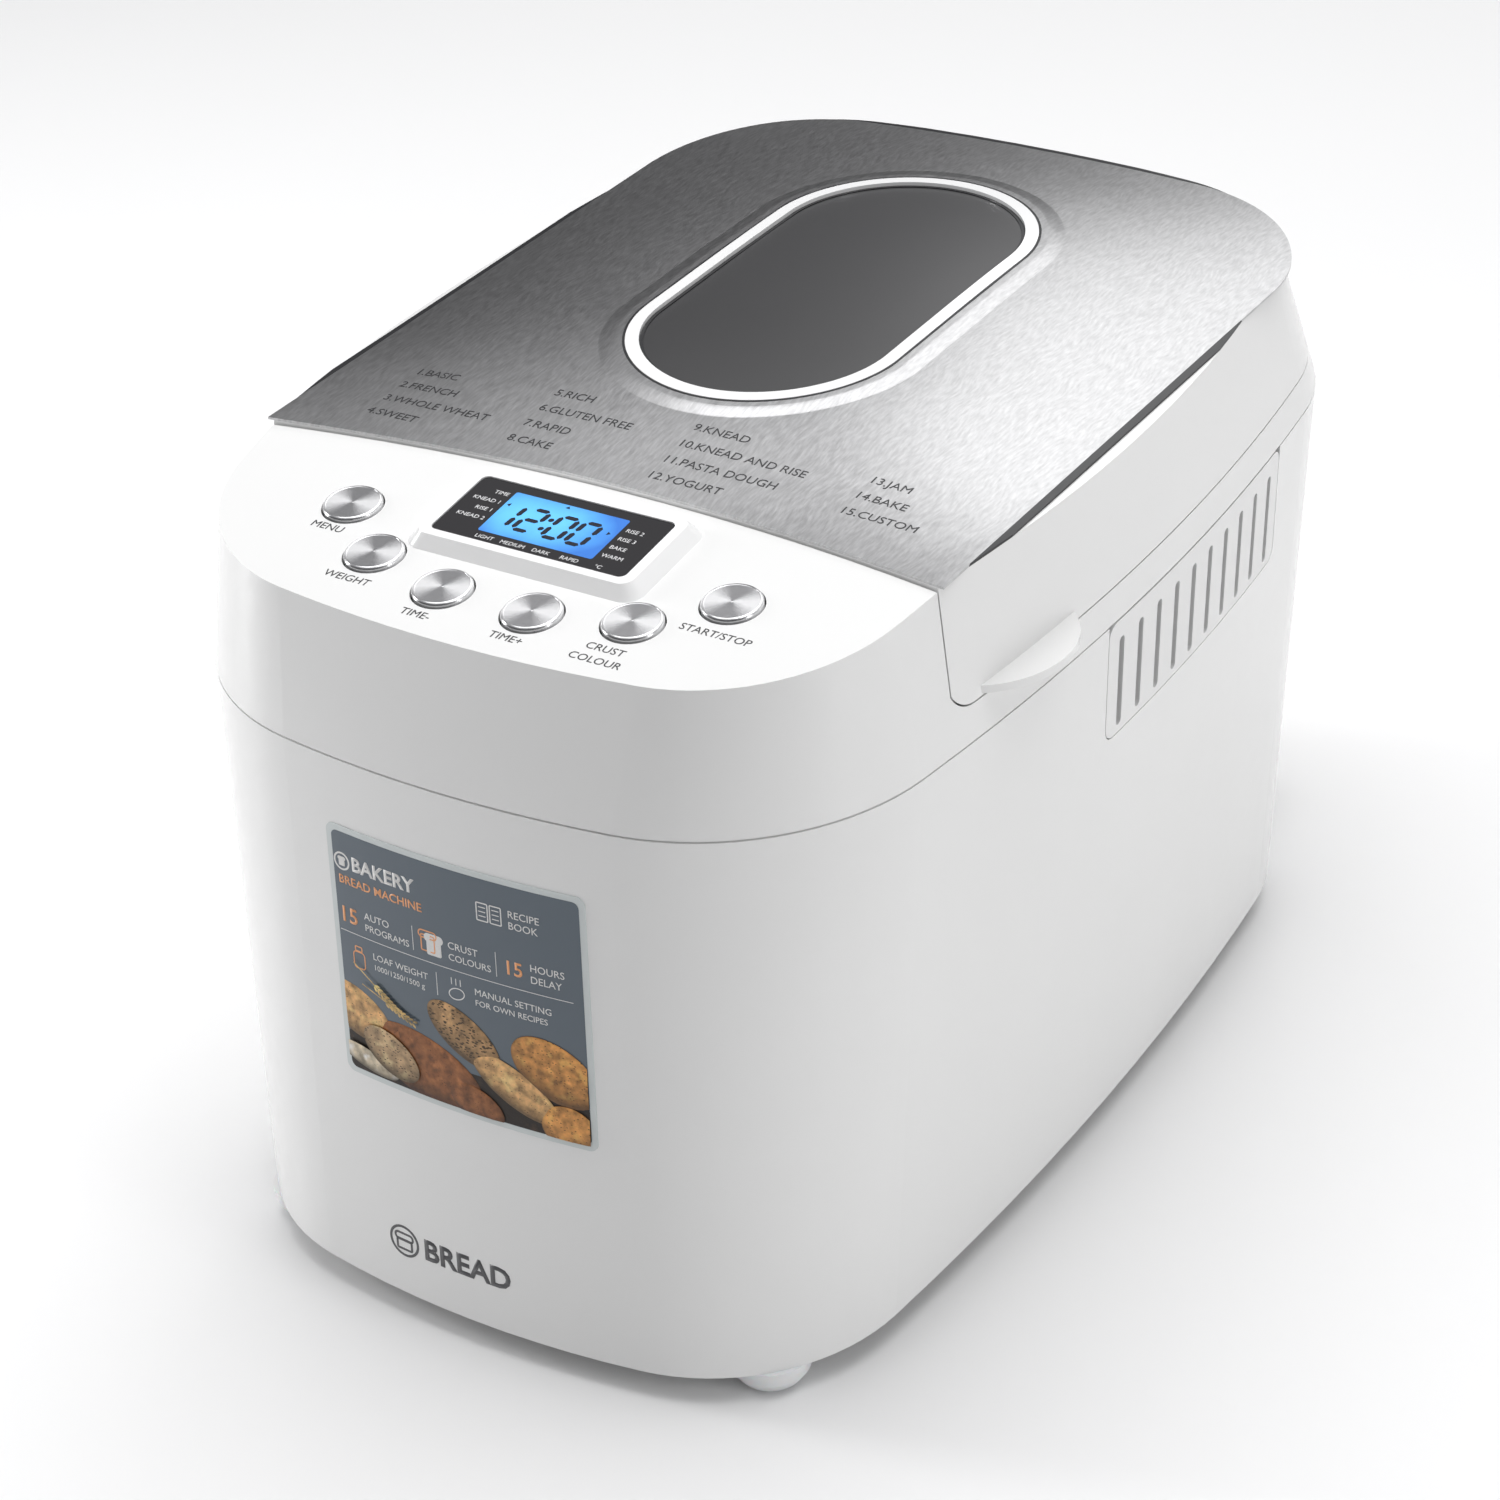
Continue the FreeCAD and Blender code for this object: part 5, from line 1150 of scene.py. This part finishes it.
class BREAD_OT_stage(bpy.types.Operator):
    """Sets the pale floor, the soft lights and the camera"""

    bl_idname = "bread.stage"
    bl_label = "Stage"

    def execute(self, context):
        self.floor()
        self.lights()
        self.camera(context)
        return {"FINISHED"}

    def floor(self):
        clear_selection()
        bpy.ops.mesh.primitive_plane_add(size=8.0)
        floor = bpy.context.object
        floor.name = "floor"
        finish = Finish("floor_paper", Specular_IOR_Level=0.2)
        cloud = finish.noise(2.0, 2.0)
        finish.feed("Base Color", finish.between(cloud, (0.84, 0.84, 0.84, 1.0), (0.86, 0.86, 0.86, 1.0)))
        finish.feed("Roughness", cloud * 0.1 + 0.5)
        floor.data.materials.append(finish.material)

    def lights(self):
        # name, place, target, width, height, watts
        lamps = [
            ("over", (0.0, 0.16, 1.75), (0.0, 0.05, 0.0), 1.9, 1.3, 23.0),
            ("right", (1.45, -0.22, 0.50), (0.0, 0.0, 0.13), 0.35, 0.9, 5.2),
            ("left", (-1.40, -0.46, 0.45), (0.0, -0.05, 0.12), 0.3, 0.9, 11.0),
            ("behind", (-0.18, 1.45, 1.50), (0.0, 0.05, 0.25), 1.1, 1.1, 6.5),
        ]
        for name, place, target, width, height, watts in lamps:
            clear_selection()
            bpy.ops.object.light_add(type="AREA", location=place)
            lamp = bpy.context.object
            lamp.name = "light_" + name
            lamp.rotation_euler = (Vector(target) - Vector(place)).to_track_quat("-Z", "Y").to_euler()
            lamp.data.shape = "RECTANGLE"
            lamp.data.size = width
            lamp.data.size_y = height
            lamp.data.energy = watts
        world = bpy.data.worlds.new("soft_room")
        bpy.context.scene.world = world
        bpy.context.scene.view_settings.view_transform = "Standard"
        world.use_nodes = True
        nodes, links = world.node_tree.nodes, world.node_tree.links
        where = nodes.new("ShaderNodeTexCoord")
        parts = nodes.new("ShaderNodeSeparateXYZ")
        ramp = nodes.new("ShaderNodeValToRGB")
        links.new(where.outputs["Generated"], parts.inputs[0])
        links.new(parts.outputs["Z"], ramp.inputs[0])
        links.new(ramp.outputs[0], nodes["Background"].inputs["Color"])
        stops = ramp.color_ramp.elements
        stops[0].position, stops[0].color = 0.25, (0.04, 0.04, 0.042, 1.0)
        stops[1].position, stops[1].color = 0.80, (0.60, 0.60, 0.61, 1.0)
        nodes["Background"].inputs["Strength"].default_value = 0.9

    def camera(self, context):
        """Looks down over the right front corner, with a slight roll."""
        azimuth = math.radians(33.796)
        elevation = math.radians(31.772)
        roll = math.radians(-3.607)
        distance = 1.2521
        target = Vector((0.0, -0.0329, 0.1222))
        back = Vector((
            math.sin(azimuth) * math.cos(elevation),
            -math.cos(azimuth) * math.cos(elevation),
            math.sin(elevation),
        ))
        level = Vector((math.cos(azimuth), math.sin(azimuth), 0.0))
        rise = back.cross(level)
        right = level * math.cos(roll) + rise * math.sin(roll)
        up = rise * math.cos(roll) - level * math.sin(roll)
        clear_selection()
        bpy.ops.object.camera_add(location=target + back * distance)
        camera = bpy.context.object
        turned = Matrix((right, up, back)).transposed().to_4x4()
        camera.matrix_world = Matrix.Translation(target + back * distance) @ turned
        camera.data.sensor_width = 36.0
        camera.data.lens = 91.74
        context.scene.camera = camera


OPERATORS = [
    BREAD_OT_housing, BREAD_OT_cover, BREAD_OT_window, BREAD_OT_programs, BREAD_OT_keys,
    BREAD_OT_display, BREAD_OT_label, BREAD_OT_mark, BREAD_OT_inside, BREAD_OT_stage,
]
GROUPS = {"bread_shell": ShellLook, "bread_print": PrintLook, "bread_display": DisplayLook}


class BREAD_PT_sidebar(bpy.types.Panel):
    """Lists the pieces of the bread machine"""

    bl_idname = "BREAD_PT_sidebar"
    bl_label = "Bread Machine"
    bl_space_type = "VIEW_3D"
    bl_region_type = "UI"
    bl_category = "Bread Machine"

    def draw(self, context):
        for operator in OPERATORS:
            self.layout.operator(operator.bl_idname)
        for name, group in GROUPS.items():
            box = self.layout.box()
            for key in group.__annotations__:
                box.prop(getattr(context.scene, name), key)


def register():
    for item in (*GROUPS.values(), *OPERATORS, BREAD_PT_sidebar):
        bpy.utils.register_class(item)
    for name, group in GROUPS.items():
        setattr(bpy.types.Scene, name, bpy.props.PointerProperty(type=group))


def unregister():
    for name in GROUPS:
        delattr(bpy.types.Scene, name)
    for item in reversed((*GROUPS.values(), *OPERATORS, BREAD_PT_sidebar)):
        bpy.utils.unregister_class(item)


def main():
    register()
    for operator in OPERATORS:
        group, name = operator.bl_idname.split(".")
        getattr(getattr(bpy.ops, group), name)()


if __name__ == "__main__":
    main()
